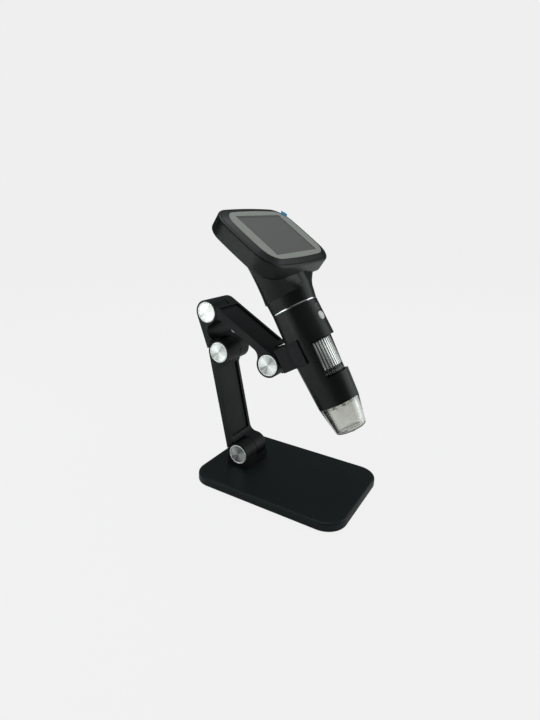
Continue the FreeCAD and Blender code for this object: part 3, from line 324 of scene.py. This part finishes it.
# %% Chrome, acrylic and film
turned_rim = grained("aluminium_rim_polished", "#eceeec", "#ffffff", 0.3, 0.04, 1.5, 0.0005,
                     0.55)
chrome = grained("chrome_plate_bright", "#cfd2d4", "#dfe1e2", 0.16, 0.03, 0.6, 0.001, 1.0)
bar_chrome = grained("chrome_plate_satin", "#e4e5e2", "#f0f0ee", 0.28, 0.03, 4.0, 0.0005, 0.85)
LIGHT_BENDING = 1.49


def see_through(name, colour, roughness, clearness, ripple, depth, murk=0.0):
    """A clear or cloudy material whose surface ripples by a little.

    The murk is how much light a metre of it takes away: only where the eye looks
    along a wall is there enough plastic for that to show, as a dark outline.
    """
    material = new_material(name)
    place = add_node(material, "ShaderNodeTexCoord")
    wave = add_node(material, "ShaderNodeTexNoise", {"Scale": 1000 / ripple, "Detail": 1.0},
                    {"Vector": place.outputs["Object"]})
    bump = add_node(material, "ShaderNodeBump", {"Strength": 1.0, "Distance": depth * MM},
                    {"Height": wave.outputs["Fac"]})
    settings = {"Base Color": linear(colour), "Roughness": roughness,
                "Transmission Weight": clearness, "IOR": LIGHT_BENDING}
    shader = add_node(material, "ShaderNodeBsdfPrincipled", settings,
                      {"Normal": bump.outputs["Normal"]})
    finish_material(material, shader)
    if murk:
        haze = add_node(material, "ShaderNodeVolumeAbsorption",
                        {"Color": linear("#b4b6b2"), "Density": murk})
        output = material.node_tree.get_output_node("ALL")
        material.node_tree.links.new(haze.outputs[0], output.inputs["Volume"])
    return material


acrylic = see_through("acrylic_clear", "#f6f7f5", 0.03, 1.0, 6.0, 0.02, murk=110.0)
cloudy_acrylic = see_through("acrylic_cloudy", "#fbfbf8", 0.12, 0.94, 3.0, 0.006)
lens_glass = see_through("optical_glass", "#eaf6f4", 0.01, 1.0, 20.0, 0.001)
tab_film = see_through("polyester_film_blue", "#1b8db2", 0.3, 0.1, 4.0, 0.02)
print("clear finishes made")

# %% [markdown]
# Every solid of the frame names a material slot, and one table says which finish
# a slot gets. The pieces inside get real finishes as well, so none is left bare
# where a gap or the clear tip shows it. The display's glass gets its own finish
# further down.

# %% Finishes on the solids
SLOT_FINISH = {
    "black_metal": coated_steel, "steel": cold_rolled_steel, "pad_rubber": rubber,
    "arm_black": arm_abs, "spun_cap": zinc_steel, "bright_steel": zinc_steel,
    "washer_nylon": nylon, "scope_black": scope_abs, "ring_chrome": chrome,
    "scale_dark": scope_abs, "wheel_chrome": chrome, "tip_clear": acrylic,
    "white_board": white_mask, "led_clear": led_epoxy, "lens_glass": lens_glass,
    "board_green": solder_mask, "chip_black": epoxy, "button_pale": button_plastic,
    "screen_glass": button_plastic, "panel_grey": epoxy, "battery_foil": foil,
    "film_blue": tab_film,
}
for entry in frame["record"]["subparts"]:
    solid = nodes[entry["node"]]
    finish = SLOT_FINISH[entry["material_slot"]]
    if solid.material_slots:
        for slot in solid.material_slots:
            slot.material = finish
    else:
        solid.data.materials.append(finish)
print("finishes given to", len(nodes), "solids")

# %% [markdown]
# New pieces are made the same way each time: a bmesh is shaped, its faces are
# told to shade smoothly except across real corners, and the object rides on the
# body that carries it. The helper below does those last steps. The scope and its
# display stand askew, so two matrices give their own upright frames.

# %% Frames of the scope and of its display
SCOPE_LEAN, SCOPE_TURN, DISPLAY_LEAN = (math.radians(angle) for angle in (-31.70, -2.0, -23.98))
DISPLAY_PLACE = Vector((12.12, 0.0, 45.73)) * MM
RING_HEIGHT, REAL_CORNER = 1.1, math.radians(38)
# The scope's zero lies on its axis, at the top of the bright ring.
ring_low, ring_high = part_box("bright_ring")
scope_axis = Vector((math.sin(SCOPE_LEAN), 0.0, math.cos(SCOPE_LEAN)))
ring_top = (ring_low + ring_high) / 2 + scope_axis * RING_HEIGHT / 2 * MM
scope_frame = (Matrix.Translation(ring_top) @ Matrix.Rotation(SCOPE_LEAN, 4, "Y")
               @ Matrix.Rotation(SCOPE_TURN, 4, "Z"))
# A third of a turn round (1, 1, 1) swaps the axes: on the display X then runs
# across, Y up and Z out of the glass.
head_frame = (scope_frame @ Matrix.Translation(DISPLAY_PLACE)
              @ Matrix.Rotation(DISPLAY_LEAN, 4, "Y")
              @ Matrix.Rotation(math.radians(120), 4, Vector((1, 1, 1))))
print("display centre in mm:", [round(v / MM, 1) for v in head_frame.translation])


def make_piece(name, shape, body, finishes, stands_for=(), place=None):
    """Turns a bmesh into a finished piece that rides on a body."""
    if place is not None:
        bmesh.ops.transform(shape, matrix=place, verts=shape.verts)
    bmesh.ops.recalc_face_normals(shape, faces=shape.faces)
    for face in shape.faces:
        face.smooth = True
    for edge in shape.edges:
        if len(edge.link_faces) == 2:
            edge.smooth = edge.calc_face_angle() < REAL_CORNER
    mesh = bpy.data.meshes.new(name)
    shape.to_mesh(mesh)
    shape.free()
    for finish in finishes:
        mesh.materials.append(finish)
    piece = bpy.data.objects.new(name, mesh)
    scene.collection.objects.link(piece)
    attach(piece, body)
    if stands_for:
        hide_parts(*stands_for)
    return piece


def turned_shape(points, steps=96, shape=None):
    """A profile of (radius, height) in mm, spun once round Z."""
    shape = shape or bmesh.new()
    line = [shape.verts.new((radius * MM, 0.0, height * MM)) for radius, height in points]
    edges = [shape.edges.new(pair) for pair in zip(line, line[1:])]
    bmesh.ops.spin(shape, geom=line + edges, cent=(0, 0, 0), axis=(0, 0, 1),
                   dvec=(0, 0, 0), angle=math.tau, steps=steps, use_merge=True,
                   use_duplicate=False)
    bmesh.ops.remove_doubles(shape, verts=shape.verts, dist=0.000002)
    return shape


# %% [markdown]
# Each hinge wears a round aluminium cap at both ends. It is spun on a lathe, so
# the tool leaves circular scratches, and those stretch every highlight into a
# bright and a dark sector, like the light on a pan's bottom. The scratches are
# made as noise squeezed along the radius. The sectors come partly from the
# anisotropy of the metal and partly from a painted highlight: the colour runs from
# a darker to a lighter tone and back round the axis, with faint random streaks.

# %% Spun aluminium with painted highlight sectors
# Each hinge: the bodies of its near and far cap, and how its caps look. That is the
# turn in degrees of the painted highlight sectors and their contrast, the dark and
# light tone between which that painted highlight runs, and how much the surface
# counts as bare metal. The caps are one aluminium, so the tones and the metal share
# that differ from hinge to hinge are painted light and shade.
HINGES = {
    "base_hinge": (("base", "lower_arm_body"), (28.0, 0.5, "#8d908d", "#f4f5f3", 0.45)),
    "elbow": (("lower_arm_body", "link_body"), (0.0, 0.4, "#a2a4a1", "#f2f3f1", 0.9)),
    "shoulder": (("link_body", "upper_arm_body"), (-10.0, 0.3, "#b9bbb8", "#eff0ee", 0.85)),
    "holder_hinge": (("upper_arm_body", "holder"), (12.0, 0.4, "#8f918e", "#f4f5f3", 0.9)),
}
# Painted highlight sectors and faint random streaks round the axis. Lathe
# scratches are 0.05 mm apart, and are drawn 0.35 mm apart so that they show.
PAINTED_HIGHLIGHT_SECTORS, STREAKS, SCRATCH, SCRATCH_DEPTH = 2, 16.0, 0.35, 0.004


def spun_aluminium(name, centre, turn, painted_sector_contrast, dark, light, metal_share):
    """Metal turned about a hinge's axis, which runs along Y, with highlight sectors painted
    into its colour.
    """
    material = new_material(name)
    place = add_node(material, "ShaderNodeTexCoord")
    centred = add_node(material, "ShaderNodeMapping",
                       {"Location": (-centre.x, 0.0, -centre.z)},
                       {"Vector": place.outputs["Object"]})
    turned_to = add_node(material, "ShaderNodeMapping",
                         {"Rotation": (math.radians(90), 0.0, 0.0)},
                         {"Vector": centred.outputs["Vector"]})
    around = add_node(material, "ShaderNodeTexGradient", {"gradient_type": "RADIAL"},
                      {"Vector": turned_to.outputs["Vector"]})
    waves = add_node(material, "ShaderNodeMath",
                     {"operation": "MULTIPLY_ADD", 1: PAINTED_HIGHLIGHT_SECTORS * math.tau,
                      2: PAINTED_HIGHLIGHT_SECTORS * math.radians(turn)}, {0: around.outputs["Fac"]})
    painted_highlight_sector = add_node(material, "ShaderNodeMath", {"operation": "SINE"},
                      {0: waves.outputs[0]})
    streak = add_node(material, "ShaderNodeTexNoise",
                      {"Scale": STREAKS, "Detail": 2.0, "noise_dimensions": "1D"},
                      {"W": around.outputs["Fac"]})
    mixed = add_node(material, "ShaderNodeMath", {"operation": "MULTIPLY_ADD", 1: painted_sector_contrast},
                     {0: painted_highlight_sector.outputs[0], 2: streak.outputs["Fac"]})
    painted_sector_tone = add_node(material, "ShaderNodeMapRange",
                    {"From Min": 0.0, "From Max": 0.95, "To Min": 0.0, "To Max": 1.0},
                    {"Value": mixed.outputs[0]})
    # The light and dark sectors of this colour are a painted highlight, laid over the real
    # anisotropic one.
    colour = add_node(material, "ShaderNodeMixRGB",
                      {"Color1": linear(dark), "Color2": linear(light)},
                      {"Fac": painted_sector_tone.outputs["Result"]})
    radius = add_node(material, "ShaderNodeVectorMath", {"operation": "LENGTH"},
                      {0: centred.outputs["Vector"]})
    scratch = add_node(material, "ShaderNodeTexNoise",
                       {"Scale": 1000 / SCRATCH, "Detail": 2.0, "noise_dimensions": "1D"},
                       {"W": radius.outputs["Value"]})
    bump = add_node(material, "ShaderNodeBump",
                    {"Strength": 1.0, "Distance": SCRATCH_DEPTH * MM},
                    {"Height": scratch.outputs["Fac"]})
    shader = add_node(material, "ShaderNodeBsdfPrincipled",
                      {"Metallic": metal_share, "Roughness": 0.27, "Anisotropic": 0.6},
                      {"Base Color": colour.outputs["Color"],
                       "Normal": bump.outputs["Normal"]})
    return finish_material(material, shader)


print("hinges:", list(HINGES))

# %% [markdown]
# A cap is one turned profile: a face that lies a quarter of a millimetre below a
# round rim. The face is spun, and the rim outside it is polished. The two caps of
# a hinge ride on the two bodies that it joins, so they turn against each other.

# %% Spun caps
# Points of radius and depth below the crest of the rim, in mm.
CAP_PROFILE = [(0.0, 0.22), (3.2, 0.235), (6.3, 0.25), (6.42, 0.24), (6.55, 0.12),
               (6.7, 0.03), (6.9, 0.0), (7.15, 0.02), (7.33, 0.1), (7.43, 0.25),
               (7.45, 0.45), (7.45, 1.09), (0.0, 1.09)]
# The radius of the spun face.
DISH = 6.35
for hinge, (bodies, look) in HINGES.items():
    # The near cap's lowest corner and the far cap's highest span the whole hinge.
    near_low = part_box(hinge + "_near_cap")[0]
    far_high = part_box(hinge + "_far_cap")[1]
    centre = (near_low + far_high) / 2
    metal = spun_aluminium("aluminium_spun_painted_sectors_" + hinge, centre, *look)
    for side, body in zip(("near", "far"), bodies):
        # A depth counts from the crest, so the profile is laid inwards.
        inward = Matrix.Rotation(math.radians(-90 if side == "near" else 90), 4, "X")
        crest = near_low.y if side == "near" else far_high.y
        place = Matrix.Translation(Vector((centre.x, crest, centre.z))) @ inward
        shape = turned_shape(CAP_PROFILE)
        for face in shape.faces:
            # The rim outside the dished face is polished, so it is a finish of its own.
            face.material_index = min(vert.co.xy.length for vert in face.verts) > DISH * MM
        cap = make_piece("%s_%s_cap_spun" % (hinge, side), shape, body, [metal, turned_rim],
                         ["%s_%s_cap" % (hinge, side)], place=place)
print("caps:", 2 * len(HINGES), "of", len(cap.data.polygons), "faces each")

# %% [markdown]
# The base, its hinge block, the arms, the holder and the barrel are right as
# solids, but a mould or a press can't make a razor edge: the corners are eased by
# a third to half a millimetre, and those thin roundings catch the light and
# outline every part. A copy of each solid is cleaned of its triangles, and its
# sharp edges are bevelled.

# %% Eased copies of the solids
SAME_FACE, SHARP_EDGE = math.radians(1.2), math.radians(32)


def eased(name, body, slot, finish, width):
    """A copy of a solid whose sharp edges are rounded by width in mm."""
    shape = bmesh.new()
    shape.from_mesh(nodes[name].data)
    bmesh.ops.remove_doubles(shape, verts=shape.verts, dist=0.00001)
    bmesh.ops.dissolve_limit(shape, angle_limit=SAME_FACE, verts=shape.verts,
                             edges=shape.edges, use_dissolve_boundaries=False,
                             delimit={"NORMAL"})
    sharp = [edge for edge in shape.edges if len(edge.link_faces) == 2
             and edge.calc_face_angle() > SHARP_EDGE]
    bmesh.ops.bevel(shape, geom=sharp, offset=width * MM, offset_type="OFFSET",
                    segments=2, profile=0.5, affect="EDGES", clamp_overlap=True,
                    material=-1)
    piece = make_piece(name + "_eased", shape, body, [finish], [name])
    weighting = piece.modifiers.new("flat_faces_stay_flat", "WEIGHTED_NORMAL")
    weighting.keep_sharp = True
    print(name, "eased along", len(sharp), "edges,", len(piece.data.polygons), "faces")


# Each solid with its body, slot and finish, and the width of its roundings in mm.
EASED = [
    ("base_shell", "base", "black_metal", coated_steel, 0.5),
    ("hinge_block", "base", "arm_black", arm_abs, 0.35),
    ("lower_arm", "lower_arm_body", "arm_black", arm_abs, 0.35),
    ("link_arm", "link_body", "arm_black", arm_abs, 0.35),
    ("upper_arm", "upper_arm_body", "arm_black", arm_abs, 0.35),
    ("barrel_holder", "holder", "arm_black", arm_abs, 0.3),
    ("barrel_shell", "scope", "scope_black", scope_abs, 0.3),
]
for entry in EASED:
    eased(*entry)

# %% [markdown]
# The focus wheel in the window is a drum that carries forty chrome bars. Each
# bar's flat face is light or dark as a whole, depending on where it looks, and the
# black gaps between them are what makes them read as bars. The drum's black in
# those gaps is painted shade. One bar is made from a cube with bevelled edges, and
# a spin with copies carries it round the drum.

# %% Focus wheel
WHEEL_HIGH, WHEEL_LOW, WHEEL_BORE = -26.35, -45.55, 10.2
DRUM_RADIUS, DRUM_EDGE, DRUM_LOW = 12.25, 0.15, WHEEL_LOW + 0.02
BARS, BAR_SIZE, BAR_RADIUS, BAR_EDGE = 40, Vector((0.78, 1.3, 18.7)), 12.4, 0.12
drum = turned_shape([(WHEEL_BORE, WHEEL_HIGH), (DRUM_RADIUS - DRUM_EDGE, WHEEL_HIGH),
                     (DRUM_RADIUS, WHEEL_HIGH - DRUM_EDGE), (DRUM_RADIUS, DRUM_LOW),
                     (WHEEL_BORE, DRUM_LOW), (WHEEL_BORE, WHEEL_HIGH)])
# The drum's black finish is painted shade, where the bars shade it.
make_piece("focus_wheel_drum", drum, "focus", [drum_painted_shade], ["focus_wheel"],
           place=scope_frame)

bars = bmesh.new()
made = bmesh.ops.create_cube(bars, size=1.0)
bmesh.ops.scale(bars, verts=made["verts"], vec=BAR_SIZE * MM)
bmesh.ops.bevel(bars, geom=bars.edges[:], offset=BAR_EDGE * MM, segments=2,
                profile=0.5, affect="EDGES", clamp_overlap=True, material=-1)
bmesh.ops.translate(bars, verts=bars.verts,
                    vec=Vector((BAR_RADIUS, 0.0, (WHEEL_HIGH + WHEEL_LOW) / 2)) * MM)
bmesh.ops.spin(bars, geom=bars.verts[:] + bars.edges[:] + bars.faces[:], cent=(0, 0, 0),
               axis=(0, 0, 1), dvec=(0, 0, 0), angle=math.tau * (BARS - 1) / BARS,
               steps=BARS - 1, use_duplicate=True, use_merge=False)
wheel_bars = make_piece("focus_wheel_bars", bars, "focus", [bar_chrome], ["focus_wheel"],
                        place=scope_frame)
print("bars:", len(wheel_bars.data.polygons), "faces")

# %% [markdown]
# Under the wheel a dark ring turns with it. It is a turned band with two small
# chamfers, and a thinner lip below it.

# %% Dial band
BAND_RADIUS, BAND_HIGH, BAND_LOW, BAND_EDGE = 13.05, WHEEL_LOW, -49.15, 0.15
LIP_RADIUS, LIP_LOW = 12.6, -49.65
band = turned_shape([(WHEEL_BORE, BAND_HIGH), (BAND_RADIUS - BAND_EDGE, BAND_HIGH),
                     (BAND_RADIUS, BAND_HIGH - BAND_EDGE), (BAND_RADIUS, BAND_LOW + BAND_EDGE),
                     (BAND_RADIUS - BAND_EDGE, BAND_LOW), (LIP_RADIUS, BAND_LOW),
                     (LIP_RADIUS, LIP_LOW), (WHEEL_BORE, LIP_LOW), (WHEEL_BORE, BAND_HIGH)])
make_piece("scale_ring_band", band, "focus", [scope_abs], ["scale_ring"],
           place=scope_frame)
print("dial band:", round(BAND_HIGH - BAND_LOW, 2), "mm high")

# %% [markdown]
# The band carries a dial: a tick every six degrees and a number at every second
# one, printed in a worn grey. Each number starts as a text curve and becomes a
# mesh. The whole print is laid out flat first, and then wrapped round the band.

# %% Dial print
TICKS, LONG_TICK, SHORT_TICK, TICK_WIDTH, TICK_START = 60, 0.9, 0.55, 0.16, 0.25
NUMBERS, NUMBER_SIZE, NUMBER_START, PRINT_DEPTH = 30, 2.4, 0.3, 0.05


def wrapped(shape, radius, taper=0.0):
    """Bends a flat print: X goes round the barrel, Y up it, Z out from it."""
    for vert in shape.verts:
        angle = vert.co.x / (radius * MM)
        out = radius * MM - taper * vert.co.y + vert.co.z
        vert.co = Vector((out * math.cos(angle), out * math.sin(angle), vert.co.y))


print_shape = bmesh.new()
for index in range(TICKS):
    tick = SHORT_TICK if index % 2 else LONG_TICK
    along = (index - TICKS / 2) / TICKS * math.tau * BAND_RADIUS
    made = bmesh.ops.create_cube(print_shape, size=1.0)
    bmesh.ops.scale(print_shape, verts=made["verts"],
                    vec=Vector((TICK_WIDTH, tick, PRINT_DEPTH)) * MM)
    bmesh.ops.translate(print_shape, verts=made["verts"],
                        vec=Vector((along, BAND_HIGH - TICK_START - tick / 2, 0)) * MM)
for number in range(NUMBERS):
    along = (number - NUMBERS / 2) / NUMBERS * math.tau * BAND_RADIUS
    words = bpy.data.curves.new("dial_number", "FONT")
    words.body = str(number)
    words.size = NUMBER_SIZE * MM
    words.extrude = PRINT_DEPTH / 2 * MM
    words.align_x = "CENTER"
    words.resolution_u = 3
    text = bpy.data.objects.new("dial_number", words)
    digits = bpy.data.meshes.new_from_object(text)
    digits.transform(Matrix.Translation(Vector((along, BAND_LOW + NUMBER_START, 0)) * MM))
    print_shape.from_mesh(digits)
    bpy.data.objects.remove(text)
    bpy.data.curves.remove(words)
    bpy.data.meshes.remove(digits)
wrapped(print_shape, BAND_RADIUS)
make_piece("scale_ring_print", print_shape, "focus", [dial_grey], ["scale_ring"],
           place=scope_frame)
print("dial printed:", TICKS, "ticks,", NUMBERS, "numbers")

# %% [markdown]
# The tip is a thick clear cup pushed into the nose. What makes it look pale is a
# thin milky liner that spreads the light of the lamps inside, with a notched
# collar at its top. The clear wall itself only shows as dark outlines, where it
# bends the view round its edges.

# %% Clear tip
NUB_PLACE = Vector((4.04, -5.05, 0.0))
NOTCHES, NOTCH_SIZE = 24, Vector((0.45, 1.5, 0.9))
NOTCH_PLACE = Vector((10.2, 0.0, -70.4))
tip = turned_shape([(12.15, -68.32), (13.95, -68.32), (14.02, -68.5), (10.72, -86.0),
                    (10.45, -86.9), (9.95, -87.55), (9.3, -87.85), (8.6, -87.9),
                    (0.0, -87.9)])
# The inside of the same wall.
turned_shape([(0.0, -86.3), (8.7, -86.3), (9.0, -86.0), (10.8, -69.25), (10.8, -64.8),
              (12.0, -64.8), (12.15, -64.95), (12.15, -68.32)], shape=tip)
make_piece("clear_tip_cup", tip, "scope", [acrylic], ["clear_tip"],
           place=scope_frame)
nub = turned_shape([(0.0, -88.7), (0.7, -88.66), (1.05, -88.5), (1.2, -88.2), (1.2, -87.7),
                    (0.0, -87.7)], steps=32)
bmesh.ops.translate(nub, verts=nub.verts, vec=NUB_PLACE * MM)
make_piece("clear_tip_nub", nub, "scope", [acrylic], ["clear_tip"],
           place=scope_frame)
liner = turned_shape([(10.55, -70.0), (8.85, -86.0), (8.3, -86.2), (0.0, -86.2),
                      (0.0, -85.8), (8.1, -85.8), (8.45, -85.6), (10.1, -70.0),
                      (10.55, -70.0)])
make_piece("clear_tip_liner", liner, "scope", [cloudy_acrylic], ["clear_tip"],
           place=scope_frame)
collar = bmesh.new()
for index in range(NOTCHES):
    made = bmesh.ops.create_cube(collar, size=1.0)
    bmesh.ops.scale(collar, verts=made["verts"], vec=NOTCH_SIZE * MM)
    bmesh.ops.translate(collar, verts=made["verts"], vec=NOTCH_PLACE * MM)
    bmesh.ops.rotate(collar, verts=made["verts"], cent=(0, 0, 0),
                     matrix=Matrix.Rotation(math.tau * index / NOTCHES, 3, "Z"))
make_piece("clear_tip_collar", collar, "scope", [cloudy_acrylic], ["clear_tip"],
           place=scope_frame)
print("tip made, with", NOTCHES, "notches in its collar")

# %% [markdown]
# The button is a shallow dome in a polished pale plastic. The ring over the
# barrel is chrome, and its edges are turned round so that it shows one fine line
# of light. Both are turned shapes.

# %% Button and bright ring
BUTTON_BELOW_RING = 12.8
dome = turned_shape([(0.0, 16.45), (1.0, 16.4), (1.9, 16.23), (2.5, 15.98), (2.85, 15.7),
                     (3.0, 15.3), (3.0, 12.8), (3.8, 12.8), (3.8, 11.8), (0.0, 11.8)],
                    steps=48)
button_frame = (scope_frame @ Matrix.Translation(Vector((0, 0, -BUTTON_BELOW_RING)) * MM)
                @ Matrix.Rotation(math.radians(90), 4, "Y"))
make_piece("snap_button_dome", dome, "snap", [button_plastic], ["snap_button"],
           place=button_frame)
ring = turned_shape([(12.0, -RING_HEIGHT), (15.3, -RING_HEIGHT), (15.47, -0.95),
                     (15.5, -0.75), (15.5, -0.35), (15.47, -0.15), (15.3, 0.0),
                     (12.0, 0.0), (12.0, -RING_HEIGHT)])
make_piece("bright_ring_turned", ring, "scope", [chrome], ["bright_ring"],
           place=scope_frame)
print("button", BUTTON_BELOW_RING, "mm below the top of the bright ring")

# %% [markdown]
# The display is covered by one sheet of glass with a grey border printed behind
# it. Off, the picture area is a darker grey. Along its upper and right edges a still
# darker band is painted shade, for the shadow that the depth under the glass
# throws there. The sheet is right as a solid, so only its finish is made: the
# object's coordinates are turned into the display's own, and steps on them draw
# the border and the painted shade band.

# %% Display glass
# Half the picture area's width and height, the width of the painted shade band, and
# how softly the border ends.
ACTIVE_ACROSS, ACTIVE_UP, PAINTED_SHADE_BAND, SOFT_END = 24.5, 18.35, 2.4, 0.1


def display_finish(name, border, picture, painted_shade_band):
    """Glass with a printed border and a band of painted shade, drawn in the display's own
    coordinates.
    """
    material = new_material(name)
    place = add_node(material, "ShaderNodeTexCoord")
    on_display = add_node(material, "ShaderNodeMapping",
                          {"vector_type": "TEXTURE", "Location": head_frame.translation,
                           "Rotation": head_frame.to_euler()},
                          {"Vector": place.outputs["Object"]})
    parts = add_node(material, "ShaderNodeSeparateXYZ", None,
                     {0: on_display.outputs["Vector"]})

    def inside(axis, low, high):
        """One where the place on this axis is between two limits in mm."""
        middle, half = (low + high) / 2 * MM, (high - low) / 2 * MM
        off = add_node(material, "ShaderNodeMath", {"operation": "SUBTRACT", 1: middle},
                       {0: parts.outputs[axis]})
        away = add_node(material, "ShaderNodeMath", {"operation": "ABSOLUTE"},
                        {0: off.outputs[0]})
        return add_node(material, "ShaderNodeMapRange",
                        {"From Min": half - SOFT_END * MM, "From Max": half + SOFT_END * MM,
                         "To Min": 1.0, "To Max": 0.0}, {"Value": away.outputs[0]})

    def both(first, second):
        """One where both of two masks are one."""
        return add_node(material, "ShaderNodeMath", {"operation": "MULTIPLY"},
                        {0: first.outputs[0], 1: second.outputs[0]})

    whole = both(inside("X", -ACTIVE_ACROSS, ACTIVE_ACROSS),
                 inside("Y", -ACTIVE_UP, ACTIVE_UP))
    # Outside this mask, along the upper and right edges, the picture is darkened by painted
    # shade.
    clear = both(inside("X", -ACTIVE_ACROSS - 1, ACTIVE_ACROSS - PAINTED_SHADE_BAND),
                 inside("Y", -ACTIVE_UP - 1, ACTIVE_UP - PAINTED_SHADE_BAND))
    dust = add_node(material, "ShaderNodeTexNoise", {"Scale": 1000 / 14.0, "Detail": 3.0},
                    {"Vector": place.outputs["Object"]})
    panel = add_node(material, "ShaderNodeMixRGB",
                     {"Color1": linear(painted_shade_band), "Color2": linear(picture)},
                     {"Fac": clear.outputs[0]})
    drawn = add_node(material, "ShaderNodeMixRGB", {"Color1": linear(border)},
                     {"Fac": whole.outputs[0], "Color2": panel.outputs["Color"]})
    gloss = add_node(material, "ShaderNodeMapRange", {"To Min": 0.16, "To Max": 0.26},
                     {"Value": dust.outputs["Fac"]})
    shader = add_node(material, "ShaderNodeBsdfPrincipled",
                      {"Coat Weight": 0.4, "Coat Roughness": 0.05},
                      {"Base Color": drawn.outputs["Color"],
                       "Roughness": gloss.outputs["Result"]})
    return finish_material(material, shader)


# The last colour is the painted shade band along the picture's upper and right edges.
display_cover = display_finish("glass_printed_grey_painted_shade", "#949590", "#5e5e5c", "#4b4c4b")
for slot in nodes["display_glass"].material_slots:
    slot.material = display_cover
print("glass finished")

# %% [markdown]
# A small blue tab is left from the film on the glass. Film that has been bent
# once never lies flat again, so the tab leaves the glass and rolls down over the
# rim. A grid is bent in code, and its faces are then given their thickness.

# %% Film tab
TAB_PLACE = Vector((32.36, 16.05, 0.0))
TAB_LONG, TAB_WIDE, TAB_THICK, TAB_TURN = 5.5, 4.7, 0.12, 36.4
# The tab starts off the glass, humps along and a little across it, and from the
# bend on it drops.
START, HUMP, CROWN, BEND, DROP = 0.10, 0.28, 0.08, 0.55, 0.75
tab = bmesh.new()
bmesh.ops.create_grid(tab, x_segments=16, y_segments=6, size=0.5)
for vert in tab.verts:
    along, across = vert.co.x + 0.5, vert.co.y + 0.5
    lift = START + HUMP * math.sin(math.pi * along) - DROP * max(0.0, along - BEND) ** 2
    vert.co = Vector((along * TAB_LONG, across * TAB_WIDE,
                      lift + CROWN * math.sin(math.pi * across))) * MM
bmesh.ops.solidify(tab, geom=tab.faces[:], thickness=-TAB_THICK * MM)
tab_frame = (head_frame @ Matrix.Translation(TAB_PLACE * MM)
             @ Matrix.Rotation(math.radians(TAB_TURN), 4, "Z"))
make_piece("film_tab_curled", tab, "scope", [tab_film], ["film_tab"],
           place=tab_frame)
print("film tab:", TAB_LONG, "by", TAB_WIDE, "mm")

# %% [markdown]
# Above the button the barrel has a small camera sign, printed in a grey that has
# worn faint. It is a rounded frame, a bump for the finder and a ring for the lens,
# each a thin flat strip that is wrapped round the barrel.

# %% Camera sign
INK_HEIGHT, ROUND_STEPS = 0.04, 6
LENS_RADIUS, LENS_POINTS = 0.85, 24
SIGN_BELOW_RING, FINDER_ABOVE = 6.6, 1.85
# The barrel's radius, carried on up to the top of the bright ring, and how much it
# grows per millimetre downwards.
SIGN_RADIUS, BARREL_TAPER = 15.42, 0.0302


def strip(shape, loop, width):
    """A flat closed strip of a width in mm along a loop of points in mm."""
    count = len(loop)
    sides = []
    for index, (x, y) in enumerate(loop):
        before, after = loop[index - 1], loop[(index + 1) % count]
        run = Vector((after[0] - before[0], after[1] - before[1])).normalized()
        offset = Vector((-run.y, run.x)) * width / 2
        sides.append([shape.verts.new(Vector((x + side * offset.x, y + side * offset.y,
                                              INK_HEIGHT)) * MM) for side in (-1, 1)])
    for index, pair in enumerate(sides):
        follow = sides[(index + 1) % count]
        shape.faces.new((pair[0], follow[0], follow[1], pair[1]))


def rounded_loop(width, height, corner):
    """Points round a rectangle with round corners."""
    points = []
    for quarter in range(4):
        middle = ((width / 2 - corner) * (1, -1, -1, 1)[quarter],
                  (height / 2 - corner) * (1, 1, -1, -1)[quarter])
        for step in range(ROUND_STEPS + 1):
            angle = math.radians(90 * quarter + 90 * step / ROUND_STEPS)
            points.append((middle[0] + corner * math.cos(angle),
                           middle[1] + corner * math.sin(angle)))
    return points


sign = bmesh.new()
strip(sign, rounded_loop(4.0, 3.2, 0.8), 0.26)
lens_angles = [math.tau * index / LENS_POINTS for index in range(LENS_POINTS)]
strip(sign, [(LENS_RADIUS * math.cos(angle), LENS_RADIUS * math.sin(angle))
             for angle in lens_angles], 0.24)
strip(sign, [(x, y + FINDER_ABOVE) for x, y in rounded_loop(1.3, 0.4, 0.15)], 0.2)
bmesh.ops.translate(sign, verts=sign.verts, vec=Vector((0, -SIGN_BELOW_RING, 0)) * MM)
wrapped(sign, SIGN_RADIUS, taper=BARREL_TAPER)
make_piece("camera_sign", sign, "scope", [sign_grey],
           place=scope_frame)
print("sign printed", SIGN_BELOW_RING, "mm below the top of the bright ring")
